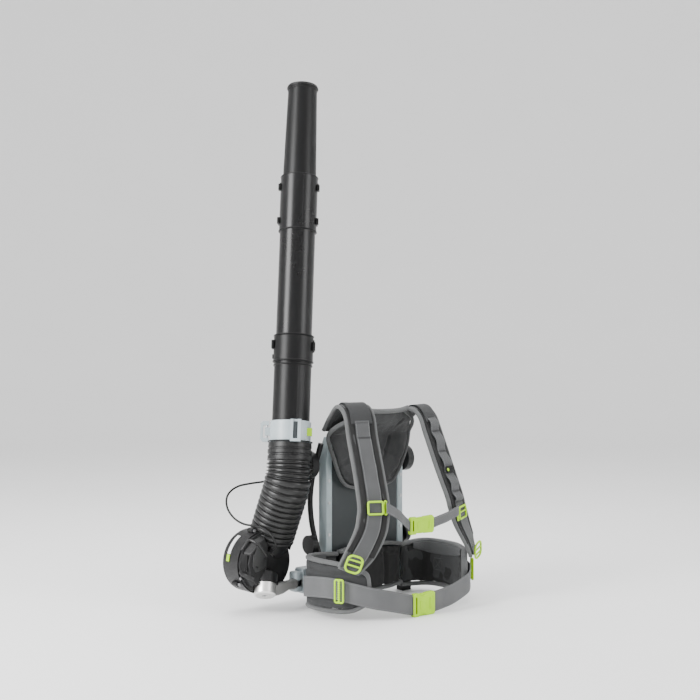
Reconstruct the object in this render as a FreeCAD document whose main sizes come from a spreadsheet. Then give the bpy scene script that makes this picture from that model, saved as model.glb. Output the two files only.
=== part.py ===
import FreeCAD, Part
import math
import os

import Sketcher

# Backpack leaf blower. Millimetres, +Z up. The wearer faces -Y and the wearer's right is -X.
# The origin is on the ground, under the middle of the back panel's front face.

V = FreeCAD.Vector
doc = FreeCAD.newDocument("BackpackBlower")

# ---------------------------------------------------------------- driving dimensions
VALUES = {
    # air tube: where the bellows end, and how far the tube leans for each millimetre it rises
    "bellows_top_x": -233.8, "bellows_top_y": 15.4, "bellows_top_z": 366.0,
    "tube_lean_x": 0.1325, "tube_lean_y": 0.1154, "tube_turn": -40.0,
    "lower_tube_radius": 46.5, "lower_tube_wall": 1.4, "upper_tube_radius": 45.0, "upper_tube_wall": 1.6,
    "slip_gap": 0.1,
    "cuff_radius": 54.5, "cuff_length": 44.0, "clamp_radius": 50.5, "clamp_length": 52.0,
    "collar_radius": 49.5, "collar_from": 243.0, "collar_to": 312.0,
    "sleeve_radius": 47.5, "sleeve_from": 578.0, "sleeve_to": 724.0,
    "nozzle_base_radius": 42.5, "nozzle_tip_radius": 37.5, "nozzle_rim_radius": 39.0,
    "nozzle_bore_radius": 35.0, "tube_length": 970.0,
    # bellows
    "bellows_radius": 54.0, "bellows_bore": 46.8, "bellows_rib": 3.6, "bellows_ribs": 14.0,
    "bellows_knee": 46.0, "bellows_bend_radius": 150.0,
    "neck_lean_x": 0.102, "neck_lean_y": -0.364, "neck_top_z": 176.0,
    "neck_radius": 46.6, "neck_wall": 3.0,
    # fan unit
    "fan_x": -293.0, "fan_y": 42.0, "fan_z": 120.0, "scroll_radius": 77.0, "scroll_depth": 62.0,
    "scroll_wall": 3.2, "inlet_radius": 50.0, "motor_radius": 30.0, "motor_length": 24.0,
    "impeller_radius": 60.0, "impeller_width": 20.0, "blade_count": 11.0, "shaft_radius": 4.0,
    "cover_depth": 8.0, "pod_depth": 26.0,
    # swivel
    "swivel_x": -304.0, "swivel_y": 20.0, "swivel_z": 57.0,
    "swivel_lean_x": 0.371, "swivel_lean_y": 0.442,
    "cap_radius": 26.5, "cap_length": 28.0, "pin_radius": 7.0, "running_gap": 0.06,
    # frame
    "rail_outer_x": 130.0, "rail_width": 20.0, "rail_depth": 30.0, "rail_bottom": 38.0, "rail_top": 418.0,
    "panel_half_width": 110.0, "panel_bottom": 98.0, "panel_top": 428.0, "panel_thickness": 6.0,
    "bay_half_width": 60.0, "bay_depth": 92.0, "bay_bottom": 34.0, "bay_top": 320.0, "bay_wall": 3.0,
    "battery_half_width": 50.0, "battery_depth": 70.0, "battery_length": 270.0,
    "foot_height": 34.0, "guard_tube_radius": 7.0, "screw_radius": 4.0,
    # harness
    "strap_width": 82.0, "strap_thickness": 13.0, "web_width": 50.0, "web_thickness": 2.4,
    "wing_height": 115.0, "wing_thickness": 15.0, "wing_bottom": 18.0,
    "cable_radius": 2.6,
}

sheet = doc.addObject("Spreadsheet::Sheet", "Dims")
for row, (alias, number) in enumerate(VALUES.items(), start=1):
    sheet.set("A%d" % row, alias)
    sheet.set("B%d" % row, str(number))
    sheet.setAlias("B%d" % row, alias)
doc.recompute()


class Size:
    """A length or a number with the sheet expression that gives it."""

    def __init__(self, text, value):
        self.text = text
        self.value = value

    def combine(self, other, sign, result):
        return Size("(%s %s %s)" % (self.text, sign, text_of(other)), result)

    def __add__(self, other):
        return self.combine(other, "+", self.value + value_of(other))

    def __sub__(self, other):
        return self.combine(other, "-", self.value - value_of(other))

    def __mul__(self, other):
        return self.combine(other, "*", self.value * value_of(other))

    def __truediv__(self, other):
        return self.combine(other, "/", self.value / value_of(other))

    def __neg__(self):
        return Size("(-%s)" % self.text, -self.value)


def value_of(size):
    return size.value if isinstance(size, Size) else float(size)


def text_of(size):
    return size.text if isinstance(size, Size) else repr(float(size))


class Dims:
    """Reads a cell of the sheet by its alias, as in dim.cap_radius."""

    def __getattr__(self, alias):
        return Size("Dims.%s" % alias, float(sheet.get(alias)))


dim = Dims()


def bind(obj, prop, size):
    """Sets a property and ties it to the sheet where the size comes from there."""
    setattr(obj, prop, value_of(size))
    if isinstance(size, Size):
        obj.setExpression(prop, size.text)


# ---------------------------------------------------------------- placing and shaping helpers
def frame(origin, z_axis, x_hint=V(1, 0, 0)):
    """A placement at origin whose Z is z_axis and whose X is as near x_hint as it can be."""
    z = V(z_axis)
    z.normalize()
    x = V(x_hint) - z * x_hint.dot(z)
    if x.Length < 1e-6:
        x = V(0, 1, 0)
    x.normalize()
    return FreeCAD.Placement(V(origin), FreeCAD.Rotation(x, z.cross(x), z, "ZXY"))


def shifted(placement, x=0.0, y=0.0, z=0.0):
    return placement * FreeCAD.Placement(V(x, y, z), FreeCAD.Rotation())


def turned(placement, axis, angle):
    return placement * FreeCAD.Placement(V(), FreeCAD.Rotation(axis, angle))


HERE = FreeCAD.Placement()


def cylinder(name, radius, height, placement=HERE, angle=360):
    obj = doc.addObject("Part::Cylinder", name)
    bind(obj, "Radius", radius)
    bind(obj, "Height", height)
    obj.Angle = angle
    obj.Placement = placement
    return obj


def cone(name, radius_1, radius_2, height, placement=HERE):
    obj = doc.addObject("Part::Cone", name)
    bind(obj, "Radius1", radius_1)
    bind(obj, "Radius2", radius_2)
    bind(obj, "Height", height)
    obj.Placement = placement
    return obj


def box(name, low, length, width, height, placement=HERE):
    obj = doc.addObject("Part::Box", name)
    bind(obj, "Length", length)
    bind(obj, "Width", width)
    bind(obj, "Height", height)
    obj.Placement = shifted(placement, *[value_of(c) for c in low])
    return obj


def fuse(name, *shapes):
    obj = doc.addObject("Part::MultiFuse", name)
    obj.Shapes = list(shapes)
    obj.Refine = False
    return obj


def cut(name, base, *tools):
    """Takes the tools away one after another; the last result has the given name."""
    for i, tool in enumerate(tools):
        last = i == len(tools) - 1
        obj = doc.addObject("Part::Cut", name if last else "%s_step_%d" % (name, i))
        obj.Base = base
        obj.Tool = tool
        obj.Refine = False
        base = obj
    return base


def common(name, base, tool):
    obj = doc.addObject("Part::Common", name)
    obj.Base = base
    obj.Tool = tool
    return obj


def group(name, *shapes):
    """Separate solids that share one node."""
    obj = doc.addObject("Part::Compound", name)
    obj.Links = list(shapes)
    return obj


def rounded(name, base, radius, edges_wanted):
    """Rounds the edges of base for which edges_wanted(edge) is true."""
    doc.recompute()
    obj = doc.addObject("Part::Fillet", name)
    obj.Base = base
    chosen = [i for i, edge in enumerate(base.Shape.Edges, start=1) if edges_wanted(edge)]
    obj.Edges = [(i, radius, radius) for i in chosen]
    return obj


def along(direction, tolerance=0.02):
    """A test for straight edges that run along direction."""
    def test(edge):
        if not isinstance(edge.Curve, Part.Line):
            return False
        run = edge.Vertexes[-1].Point - edge.Vertexes[0].Point
        return run.Length > 0 and run.cross(direction).Length / run.Length < tolerance
    return test


def solid(name, shape):
    obj = doc.addObject("Part::Feature", name)
    obj.Shape = shape
    return obj


def plane_of(body, role):
    for feature in body.Origin.OriginFeatures:
        if feature.Role == role:
            return feature
    raise ValueError(role)


def outline_sketch(body, role, points, circles=()):
    """A sketch of straight lines through points, with round holes, each point tied to the sheet."""
    sketch = body.newObject("Sketcher::SketchObject", body.Name + "_sketch")
    sketch.AttachmentSupport = [(plane_of(body, role), "")]
    sketch.MapMode = "FlatFace"
    places = [V(value_of(x), value_of(y), 0) for x, y in points]
    for i, place in enumerate(places):
        sketch.addGeometry(Part.LineSegment(place, places[(i + 1) % len(places)]), False)
    for i in range(len(places)):
        sketch.addConstraint(Sketcher.Constraint("Coincident", i, 2, (i + 1) % len(places), 1))
    for i, (x, y) in enumerate(points):
        for kind, size in (("DistanceX", x), ("DistanceY", y)):
            index = sketch.addConstraint(Sketcher.Constraint(kind, -1, 1, i, 1, value_of(size)))
            if isinstance(size, Size):
                sketch.setExpression("Constraints[%d]" % index, size.text)
    for x, y, radius in circles:
        centre = V(value_of(x), value_of(y), 0)
        circle = sketch.addGeometry(Part.Circle(centre, V(0, 0, 1), value_of(radius)), False)
        for kind, size in (("DistanceX", x), ("DistanceY", y)):
            sketch.addConstraint(Sketcher.Constraint(kind, -1, 1, circle, 3, value_of(size)))
        index = sketch.addConstraint(Sketcher.Constraint("Radius", circle, value_of(radius)))
        if isinstance(radius, Size):
            sketch.setExpression("Constraints[%d]" % index, radius.text)
    return sketch


def turned_body(name, points, placement=HERE):
    """A piece turned about its own Z: points are (radius, height)."""
    body = doc.addObject("PartDesign::Body", name)
    sketch = outline_sketch(body, "XZ_Plane", points)
    feature = body.newObject("PartDesign::Revolution", name + "_turned")
    feature.Profile = sketch
    feature.ReferenceAxis = (sketch, ["V_Axis"])
    feature.Angle = 360.0
    body.Placement = placement
    return body


def plate_body(name, points, thickness, placement=HERE, circles=(), role="XY_Plane", both_ways=False):
    """A plate cut to an outline: points are in the plane, thickness goes along its normal."""
    body = doc.addObject("PartDesign::Body", name)
    sketch = outline_sketch(body, role, points, circles)
    feature = body.newObject("PartDesign::Pad", name + "_pad")
    feature.Profile = sketch
    bind(feature, "Length", thickness)
    feature.Midplane = both_ways
    body.Placement = placement
    return body


def loft(name, sections, ruled=False):
    """A solid through closed outlines, each a list of points or a wire."""
    wires = []
    for section in sections:
        if isinstance(section, Part.Wire):
            wires.append(section)
        else:
            wires.append(Part.makePolygon(section + [section[0]]))
    return solid(name, Part.makeLoft(wires, True, ruled))


def circle_wire(centre, normal, radius):
    return Part.Wire(Part.makeCircle(value_of(radius), V(centre), V(normal)))


def arc_route(points, ratio=0.45):
    """Straight runs through points, joined by tangent arcs as large as the runs allow."""
    edges = []
    radii = []
    start = points[0]
    for before, corner, after in zip(points, points[1:], points[2:]):
        run_in = corner - before
        run_out = after - corner
        reach = ratio * min(run_in.Length, run_out.Length)
        half_turn = run_in.getAngle(run_out) / 2
        radii.append(reach / math.tan(half_turn))
        arc_start = corner - run_in * (reach / run_in.Length)
        arc_end = corner + run_out * (reach / run_out.Length)
        inward = run_out * (1 / run_out.Length) - run_in * (1 / run_in.Length)
        inward.normalize()
        middle = corner + inward * (radii[-1] * (1 / math.cos(half_turn) - 1))
        edges.append(Part.LineSegment(start, arc_start).toShape())
        edges.append(Part.Arc(arc_start, middle, arc_end).toShape())
        start = arc_end
    edges.append(Part.LineSegment(start, points[-1]).toShape())
    return Part.Wire(edges), radii


def tube_along(name, points, radius):
    """A round rod or cord along an arc route."""
    wire, radii = arc_route(points)
    start = circle_wire(points[0], points[1] - points[0], radius)
    shape = wire.makePipeShell([start], True, False)
    expected = math.pi * value_of(radius) ** 2 * wire.Length
    print("%s: length %.0f, radii %s, volume ratio %.3f" % (
        name, wire.Length, [round(r) for r in radii], shape.Volume / expected))
    return solid(name, shape)


nodes = []


def publish(*objects):
    for obj in objects:
        obj.Label = obj.Name
        nodes.append(obj)


# ---------------------------------------------------------------- main lines of the object
tube_direction = V(dim.tube_lean_x.value, dim.tube_lean_y.value, 1)
tube_direction.normalize()
neck_direction = V(dim.neck_lean_x.value, dim.neck_lean_y.value, 1)
neck_direction.normalize()
bellows_top = V(dim.bellows_top_x.value, dim.bellows_top_y.value, dim.bellows_top_z.value)
bellows_knee = bellows_top - tube_direction * (dim.bellows_knee.value / tube_direction.z)
neck_top = bellows_knee - neck_direction * (
    (bellows_knee.z - dim.neck_top_z.value) / neck_direction.z)
turn = math.radians(dim.tube_turn.value)
tube_frame = frame(bellows_top, tube_direction, V(math.cos(turn), math.sin(turn), 0))
neck_frame = frame(neck_top, neck_direction)
fan_origin = V(dim.fan_x.value, dim.fan_y.value, dim.fan_z.value)
fan_frame = frame(fan_origin, V(0, 1, 0), V(-1, 0, 0))
swivel_frame = frame(
    V(dim.swivel_x.value, dim.swivel_y.value, dim.swivel_z.value),
    V(dim.swivel_lean_x.value, dim.swivel_lean_y.value, 1))

# ---------------------------------------------------------------- air tube
lower_outer = dim.lower_tube_radius
lower_inner = lower_outer - dim.lower_tube_wall
upper_outer = dim.upper_tube_radius
upper_inner = upper_outer - dim.upper_tube_wall
LOWER_FROM = 4.0
LOWER_TO = 290.0
UPPER_FROM = 262.0
UPPER_TO = 715.0


def ring_profile(outer, inner, start, end, edge=1.0):
    """Half section of a ring with small chamfers on its outer corners."""
    return [(inner, start), (outer - edge, start), (outer, start + edge),
            (outer, end - edge), (outer - edge, end), (inner, end)]


lower_tube = turned_body("lower_tube", ring_profile(lower_outer, lower_inner, LOWER_FROM, LOWER_TO, 0.5),
    tube_frame)
upper_tube = turned_body("upper_tube", ring_profile(upper_outer, upper_inner, UPPER_FROM, UPPER_TO, 0.5),
    tube_frame)

cuff = dim.cuff_radius
bellows_upper_cuff = turned_body("bellows_upper_cuff", [
    (lower_outer + dim.slip_gap, 2.0), (cuff, 2.0), (cuff, 11.0), (cuff - 2.0, 12.5), (cuff - 2.0, 15.5),
    (cuff, 17.0), (cuff, 26.0), (cuff - 2.0, 27.5), (cuff - 2.0, 30.5), (cuff - 0.6, 32.0),
    (cuff - 1.6, 43.0), (lower_outer + dim.slip_gap, dim.cuff_length - 0.5)], tube_frame)

collar_bore = lower_outer + dim.slip_gap
collar_ring = turned_body("collar_ring", [
    (collar_bore, dim.collar_from), (dim.collar_radius, dim.collar_from),
    (dim.collar_radius, dim.collar_to - 6.0), (dim.collar_radius - 2.0, dim.collar_to),
    (upper_outer + dim.slip_gap, dim.collar_to), (upper_outer + dim.slip_gap, 292.0), (collar_bore, 292.0)],
    tube_frame)
COLLAR_LUGS = ((49.0, 276.0), (-49.0, 258.0), (49.0, 296.0))
collar_lugs = [box("collar_lug_%d" % i, (x - 3.0, -6.0, z - 5.0), 6, 12, 10, tube_frame)
               for i, (x, z) in enumerate(COLLAR_LUGS)]
collar_keep_out = cylinder("collar_keep_out", collar_bore, 90.0, shifted(tube_frame, z=235))
tube_collar = fuse("tube_collar", collar_ring, *[
    cut("collar_lug_cut_%d" % i, lug, collar_keep_out) for i, lug in enumerate(collar_lugs)])

sleeve = dim.sleeve_radius
sleeve_ring = turned_body("sleeve_ring", [
    (upper_outer + dim.slip_gap, dim.sleeve_from), (sleeve - 1.0, dim.sleeve_from),
    (sleeve, dim.sleeve_from + 2.0),
    (sleeve, dim.sleeve_to - 3.0), (sleeve - 1.5, dim.sleeve_to),
    (dim.nozzle_base_radius + dim.slip_gap, dim.sleeve_to),
    (dim.nozzle_base_radius + dim.slip_gap, 716.0), (upper_outer + dim.slip_gap, 716.0)], tube_frame)
SLEEVE_LUGS = ((47.0, 0.0, 604.0), (-47.0, 0.0, 604.0), (47.0, 0.0, 700.0), (-47.0, 0.0, 700.0))
sleeve_keep_out = cylinder("sleeve_keep_out", upper_outer + dim.slip_gap, 160.0, shifted(tube_frame, z=570))
sleeve_lugs = [cut("sleeve_lug_cut_%d" % i,
                   box("sleeve_lug_%d" % i, (x - 2.8, y - 7.0, z - 7.0), 5.6, 14, 14, tube_frame),
                   sleeve_keep_out)
               for i, (x, y, z) in enumerate(SLEEVE_LUGS)]
nozzle_sleeve = fuse("nozzle_sleeve", sleeve_ring, *sleeve_lugs)

nozzle_tip = dim.nozzle_tip_radius
nozzle = turned_body("nozzle", [
    (dim.nozzle_base_radius - 2.0, 716.5), (dim.nozzle_base_radius, 716.5), (dim.nozzle_base_radius, 726.0),
    (nozzle_tip, dim.tube_length - 14.0), (dim.nozzle_rim_radius, dim.tube_length - 12.0),
    (dim.nozzle_rim_radius, dim.tube_length - 2.0), (dim.nozzle_rim_radius - 2.0, dim.tube_length),
    (dim.nozzle_bore_radius, dim.tube_length), (dim.nozzle_bore_radius, dim.tube_length - 24.0)], tube_frame)
publish(lower_tube, upper_tube, bellows_upper_cuff, tube_collar, nozzle_sleeve, nozzle)

# clamp that joins the tube, the cuff and the control handle
CLAMP_FROM = 44.5
clamp_bore = lower_outer + dim.slip_gap
clamp_band = turned_body("clamp_band", ring_profile(
    dim.clamp_radius, clamp_bore, CLAMP_FROM, dim.clamp_length + CLAMP_FROM, 1.5), tube_frame)
clamp_block = box("clamp_block", (2.0, -58.0, CLAMP_FROM - 1), 26, 16, 54, tube_frame)
clamp_recess = box("clamp_recess", (9.0, -60.0, CLAMP_FROM + 6), 11, 6, 48, tube_frame)
clamp_tab = box("clamp_tab", (40.0, -27.0, CLAMP_FROM + 14), 12, 12, 22, tube_frame)
clamp_saddle = box("clamp_saddle", (-15.0, 44.0, CLAMP_FROM + 1), 30, 12, 50, tube_frame)
PIN_X = -58.0
clamp_ear = box("clamp_ear", (PIN_X - 4.5, -5.0, CLAMP_FROM + 16), 14, 10, 20, tube_frame)
clamp_solid = fuse("clamp_solid", clamp_band, clamp_block, clamp_tab, clamp_saddle, clamp_ear)
clamp_ring = cut(
    "clamp_ring", clamp_solid, clamp_recess,
    cylinder("clamp_bore_cut", clamp_bore, 70, shifted(tube_frame, z=35)),
    cylinder("clamp_pin_bore", 2.5 + 0.05, 80, shifted(tube_frame, x=PIN_X, z=35)))
clamp_pin = cylinder("clamp_pin", 2.5, 48.0, shifted(tube_frame, x=PIN_X, z=CLAMP_FROM + 2.0))
lever_plate = plate_body("lever_plate", [
    (PIN_X + 4.5, 45.0), (PIN_X - 10.0, 45.0), (PIN_X - 16.0, 51.0), (PIN_X - 16.0, 90.0), (PIN_X - 10.0, 96.0),
    (PIN_X + 4.5, 96.0), (PIN_X + 4.5, 86.0), (PIN_X - 8.0, 86.0), (PIN_X - 10.0, 84.0), (PIN_X - 10.0, 57.0),
    (PIN_X - 8.0, 55.0), (PIN_X + 4.5, 55.0)], 9.0, tube_frame, role="XZ_Plane", both_ways=True)
clamp_lever = cut("clamp_lever", lever_plate,
                  cylinder("lever_pin_bore", 2.5 + 0.05, 80, shifted(tube_frame, x=PIN_X, z=35)))
publish(clamp_ring, clamp_lever)

# control handle behind the tube: two shells, trigger, cruise lever and boost button
HANDLE_HALF = 15.0
HANDLE_OUTLINE = [
    (56.5, 46.0), (112.0, 40.0), (124.0, 46.0), (130.0, 62.0), (140.0, 168.0), (136.0, 190.0), (122.0, 200.0),
    (92.0, 203.0), (84.0, 194.0), (90.0, 180.0), (104.0, 170.0), (104.0, 158.0), (97.0, 74.0), (88.0, 66.0),
    (72.0, 68.0), (56.5, 92.0)]
HANDLE_HOLLOW = [
    (68.0, 50.0), (111.0, 44.0), (121.0, 49.0), (126.5, 63.0), (136.0, 168.0), (132.0, 187.0), (120.0, 196.0),
    (94.0, 199.0), (89.0, 192.0), (93.0, 184.0), (108.0, 173.0), (108.0, 158.0), (101.0, 74.0), (92.0, 62.0),
    (72.0, 63.0)]
handle_plane = turned(tube_frame, V(0, 0, 1), 90)
handle_outer = plate_body("handle_outer", HANDLE_OUTLINE, 2 * HANDLE_HALF, handle_plane,
                          role="XZ_Plane", both_ways=True)
handle_round = rounded("handle_round", handle_outer, 5.0, lambda edge: not along(
    handle_plane.Rotation.multVec(V(0, 1, 0)))(edge) and abs(
        (tube_frame.inverse().multVec(edge.CenterOfMass)).y - 56.5) > 20)
handle_hollow = plate_body("handle_hollow", HANDLE_HOLLOW, 2 * (HANDLE_HALF - 3.0), handle_plane,
                           role="XZ_Plane", both_ways=True)
trigger_slot = box("trigger_slot", (-6.0, 78.0, 98.0), 12, 34, 71, tube_frame)
button_hole = cylinder("button_hole", 7.2, 20, shifted(tube_frame, y=108, z=190))
cable_hole = cylinder("cable_hole", 4.0, 30, shifted(tube_frame, y=112, z=26))
lever_hole = cylinder("lever_hole", 4.06, 40, turned(shifted(tube_frame, x=-20, y=112, z=182), V(0, 1, 0), 90))
handle_skin = cut("handle_skin", handle_round, handle_hollow, trigger_slot, button_hole, cable_hole, lever_hole)
SPLIT_GAP = 0.06
handle_shell_right = common("handle_shell_right", handle_skin, box(
    "handle_side_right", (-30, 30, 20), 30 - SPLIT_GAP, 130, 200, tube_frame))
handle_shell_left = common("handle_shell_left", handle_skin, box(
    "handle_side_left", (SPLIT_GAP, 30, 20), 30, 130, 200, tube_frame))
trigger = plate_body("trigger", [
    (122.0, 162.0), (122.0, 150.0), (105.0, 146.0), (99.0, 104.0), (88.0, 108.0), (84.0, 120.0),
    (92.0, 150.0), (104.0, 163.0), (114.0, 166.0)], 10.0, handle_plane, role="XZ_Plane", both_ways=True,
    circles=((114.0, 158.0, 2.55),))
trigger_pin = cylinder("trigger_pin", 2.5, 2 * (HANDLE_HALF - 3.0), turned(
    shifted(tube_frame, x=-(HANDLE_HALF - 3.0), y=114, z=158), V(0, 1, 0), 90))
lever_stem = cylinder("lever_stem", 4.0, 12, turned(shifted(tube_frame, x=-20, y=112, z=182), V(0, 1, 0), 90))
lever_arm = plate_body("lever_arm", [
    (106.0, 178.0), (112.0, 175.0), (118.0, 178.0), (120.0, 186.0), (114.0, 214.0), (104.0, 214.0),
    (104.0, 186.0)],
    4.0, shifted(handle_plane, y=18), role="XZ_Plane", both_ways=True)
cruise_lever = fuse("cruise_lever", lever_stem, lever_arm)
boost_button = cylinder("boost_button", 7.0, 16.0, shifted(tube_frame, y=108, z=190))
hinge_pins = group("hinge_pins", clamp_pin, trigger_pin)
publish(handle_shell_right, handle_shell_left, trigger, hinge_pins, cruise_lever, boost_button)

# ---------------------------------------------------------------- bellows between the fan unit and the tube
bend = tube_direction.getAngle(neck_direction)
bend_reach = dim.bellows_bend_radius.value * math.tan(bend / 2)
bend_top = bellows_knee + tube_direction * bend_reach
bend_low = bellows_knee - neck_direction * bend_reach
toward_arc = tube_direction * bend_reach - neck_direction * bend_reach
toward_arc.normalize()
bend_middle = bellows_knee + toward_arc * (dim.bellows_bend_radius.value * (1 / math.cos(bend / 2) - 1))
neck_start = neck_top + neck_direction * 1.0
bellows_line = Part.Wire([
    Part.LineSegment(neck_start, bend_low).toShape(),
    Part.Arc(bend_low, bend_middle, bend_top).toShape(),
    Part.LineSegment(bend_top, bellows_top + tube_direction * 1.0).toShape()])


def pipe_on_bellows(radius):
    return bellows_line.makePipeShell([circle_wire(neck_start, neck_direction, radius)], True, False)


bellows_skin = pipe_on_bellows(dim.bellows_radius)
rib_count = int(dim.bellows_ribs.value)
RIB_END = 9.0
ribs = []
for i in range(rib_count):
    step = RIB_END + (bellows_line.Length - 2 * RIB_END) * i / (rib_count - 1)
    edge_start = 0.0
    for edge in bellows_line.Edges:
        if step <= edge_start + edge.Length + 1e-6:
            where = edge.getParameterByLength(min(step - edge_start, edge.Length))
            spot = edge.valueAt(where)
            ribs.append(Part.makeTorus(dim.bellows_radius.value, dim.bellows_rib.value, spot,
                edge.tangentAt(where)))
            break
        edge_start += edge.Length
scroll_keep_out = Part.makeCylinder(
    dim.scroll_radius.value + 0.6, dim.scroll_depth.value + 60, fan_origin - V(0, 30, 0), V(0, 1, 0))
bellows_pieces = bellows_skin.fuse(ribs).cut(pipe_on_bellows(dim.bellows_bore)).cut(scroll_keep_out).Solids
bellows = solid("bellows", max(bellows_pieces, key=lambda piece: piece.Volume))
publish(bellows)

# ---------------------------------------------------------------- fan unit
scroll_outer = dim.scroll_radius
scroll_inner = scroll_outer - dim.scroll_wall
depth = dim.scroll_depth
wall = dim.scroll_wall


def ellipse_wire(centre, half_x, half_y):
    curve = Part.Ellipse(V(centre), half_x, half_y)
    return Part.Wire(curve.toShape())


NECK_FOOT = V(-252.0, 74.0, 118.0)


def neck_loft(name, grow, rise):
    radius = dim.neck_radius.value + grow
    top = neck_top + neck_direction * rise
    return solid(name, Part.makeLoft([
        ellipse_wire(NECK_FOOT, 34.0 + grow, 28.0 + grow),
        circle_wire(neck_top - neck_direction * 16, neck_direction, radius),
        circle_wire(top, neck_direction, radius)], True, False))


neck_outer = neck_loft("neck_outer", 0.0, 12.0)
neck_inner = neck_loft("neck_inner", -dim.neck_wall.value, 13.0)
swivel_well = cylinder("swivel_well", dim.cap_radius + 3.0, 39.0, shifted(swivel_frame, z=-24))
swivel_lining = cylinder("swivel_lining", dim.cap_radius + 6.5, 43.0, shifted(swivel_frame, z=-24))
scroll_drum = cylinder("scroll_drum", scroll_outer, depth, fan_frame)
scroll_shell = cut(
    "scroll_shell", fuse("scroll_solid", scroll_drum, neck_outer),
    cylinder("scroll_bore", scroll_inner, depth - wall * 2, shifted(fan_frame, z=wall.value)), neck_inner,
    swivel_well)
well_wall = common("well_wall", cut("well_ring", swivel_lining, swivel_well), scroll_drum)
scroll = cut(
    "scroll", fuse("scroll_lined", scroll_shell, well_wall),
    cylinder("inlet", dim.inlet_radius, 20, shifted(fan_frame, z=50)),
    cylinder("motor_hole", dim.motor_radius + 0.5, 20, shifted(fan_frame, z=-10)))
SPLIT_Z = 31.0
SCREW_ANGLES = (75.0, 185.0, 240.0, 325.0)
SCREW_OFFSET = 3.8


def rim_spot(angle, z):
    return shifted(turned(fan_frame, V(0, 0, 1), angle), x=scroll_outer.value + SCREW_OFFSET, z=z)


rim_keep_out = cylinder("rim_keep_out", scroll_inner + 1.0, 80.0, fan_frame)
rim_bosses = [cut("rim_boss_cut_%d" % i, cylinder("rim_boss_%d" % i, 6.0, SPLIT_Z - 11.2,
    rim_spot(angle, 11.1)), rim_keep_out)
              for i, angle in enumerate(SCREW_ANGLES)]
scroll_front_shell = common(
    "scroll_front_shell", scroll, box("scroll_front_side", (-120, -120, -60), 240, 260, 60 + SPLIT_Z - 0.05,
    fan_frame))
scroll_front = fuse("scroll_front", scroll_front_shell, *rim_bosses)
scroll_rear = common("scroll_rear", scroll, box("scroll_rear_side", (-120, -120, SPLIT_Z), 240, 260, 80,
    fan_frame))

# front cover: a shallow cap over the motor with a raised pod on its outer side and the swivel boss below
COVER_RADIUS = 74.0
COVER_GAP = 0.2
cover_depth = dim.cover_depth.value
pod_depth = dim.pod_depth.value
cover_cap = cylinder("cover_cap", COVER_RADIUS, cover_depth, shifted(fan_frame, z=-cover_depth - COVER_GAP))
POD_FOOT = [(2.0, -50.0), (50.0, -54.0), (68.0, -30.0), (74.5, 4.0), (66.0, 34.0), (44.0, 60.0), (14.0, 73.0),
    (-4.0, 52.0)]
POD_FACE = [(10.0, -44.0), (42.0, -46.0), (56.0, -22.0), (61.0, 6.0), (54.0, 32.0), (36.0, 52.0), (14.0, 62.0),
    (4.0, 44.0)]


def on_fan_front(outline, rise):
    """A polygon of fan-frame (x, y) points, rise in front of the fan unit's front plane."""
    return [shifted(fan_frame, x=x, y=y, z=-rise).Base for x, y in outline]


pod_block = loft("pod_block", [on_fan_front(POD_FOOT, COVER_GAP), on_fan_front(POD_FACE, pod_depth)])
pod = rounded("pod", pod_block, 3.0, lambda edge: edge.BoundBox.YMax < dim.fan_y.value - pod_depth + 0.5)
boss = cylinder("boss", dim.cap_radius + 2.5, 26.0, shifted(swivel_frame, z=dim.cap_length.value / 2 + 0.4))
cover_space = cylinder("cover_space", dim.motor_radius + 2.0, 40.0, shifted(fan_frame, z=-5.0))
pod_space = plate_body("pod_space", [
    (36.0, -36.0), (50.0, -18.0), (55.0, 6.0), (48.0, 29.0), (34.0, 44.0)],
    pod_depth - 5.0, shifted(fan_frame, z=-pod_depth + 4.0))
cover_keep_out = cylinder("cover_keep_out", scroll_outer + 0.5, 80.0, shifted(fan_frame, z=-COVER_GAP))
bore_radius = dim.pin_radius + dim.running_gap
front_cover = cut(
    "front_cover", fuse("cover_solid", cover_cap, pod, boss), cover_space, pod_space, cover_keep_out,
    neck_loft("cover_neck_room", 0.5, 12.0), swivel_well,
    cylinder("boss_bore", bore_radius, 60.0, shifted(swivel_frame, z=0)))
publish(scroll_front, scroll_rear, front_cover)

GRILLE_RINGS = (14.0, 25.0, 36.0, 47.0)
grille_z = depth.value + 0.2
grille_parts = [
    turned_body("grille_rim", [(52.0, grille_z), (66.0, grille_z), (66.0, grille_z + 4.0),
    (62.0, grille_z + 8.0),
                               (52.0, grille_z + 8.0)], fan_frame),
    cylinder("grille_hub", 9.0, 4.0, shifted(fan_frame, z=grille_z + 3.0))]
for i, radius in enumerate(GRILLE_RINGS):
    grille_parts.append(turned_body("grille_ring_%d" % i, [
        (radius, grille_z + 3.5), (radius + 2.6, grille_z + 3.5), (radius + 2.6, grille_z + 6.5),
        (radius, grille_z + 6.5)],
        fan_frame))
for i in range(10):
    spoke = turned(fan_frame, V(0, 0, 1), 36.0 * i)
    grille_parts.append(box("grille_spoke_%d" % i, (7.0, -1.3, grille_z + 3.0), 47.0, 2.6, 3.6, spoke))
intake_grille = cut("intake_grille", fuse("grille_solid", *grille_parts),
    neck_loft("grille_neck_room", 0.5, 12.0))

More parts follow.
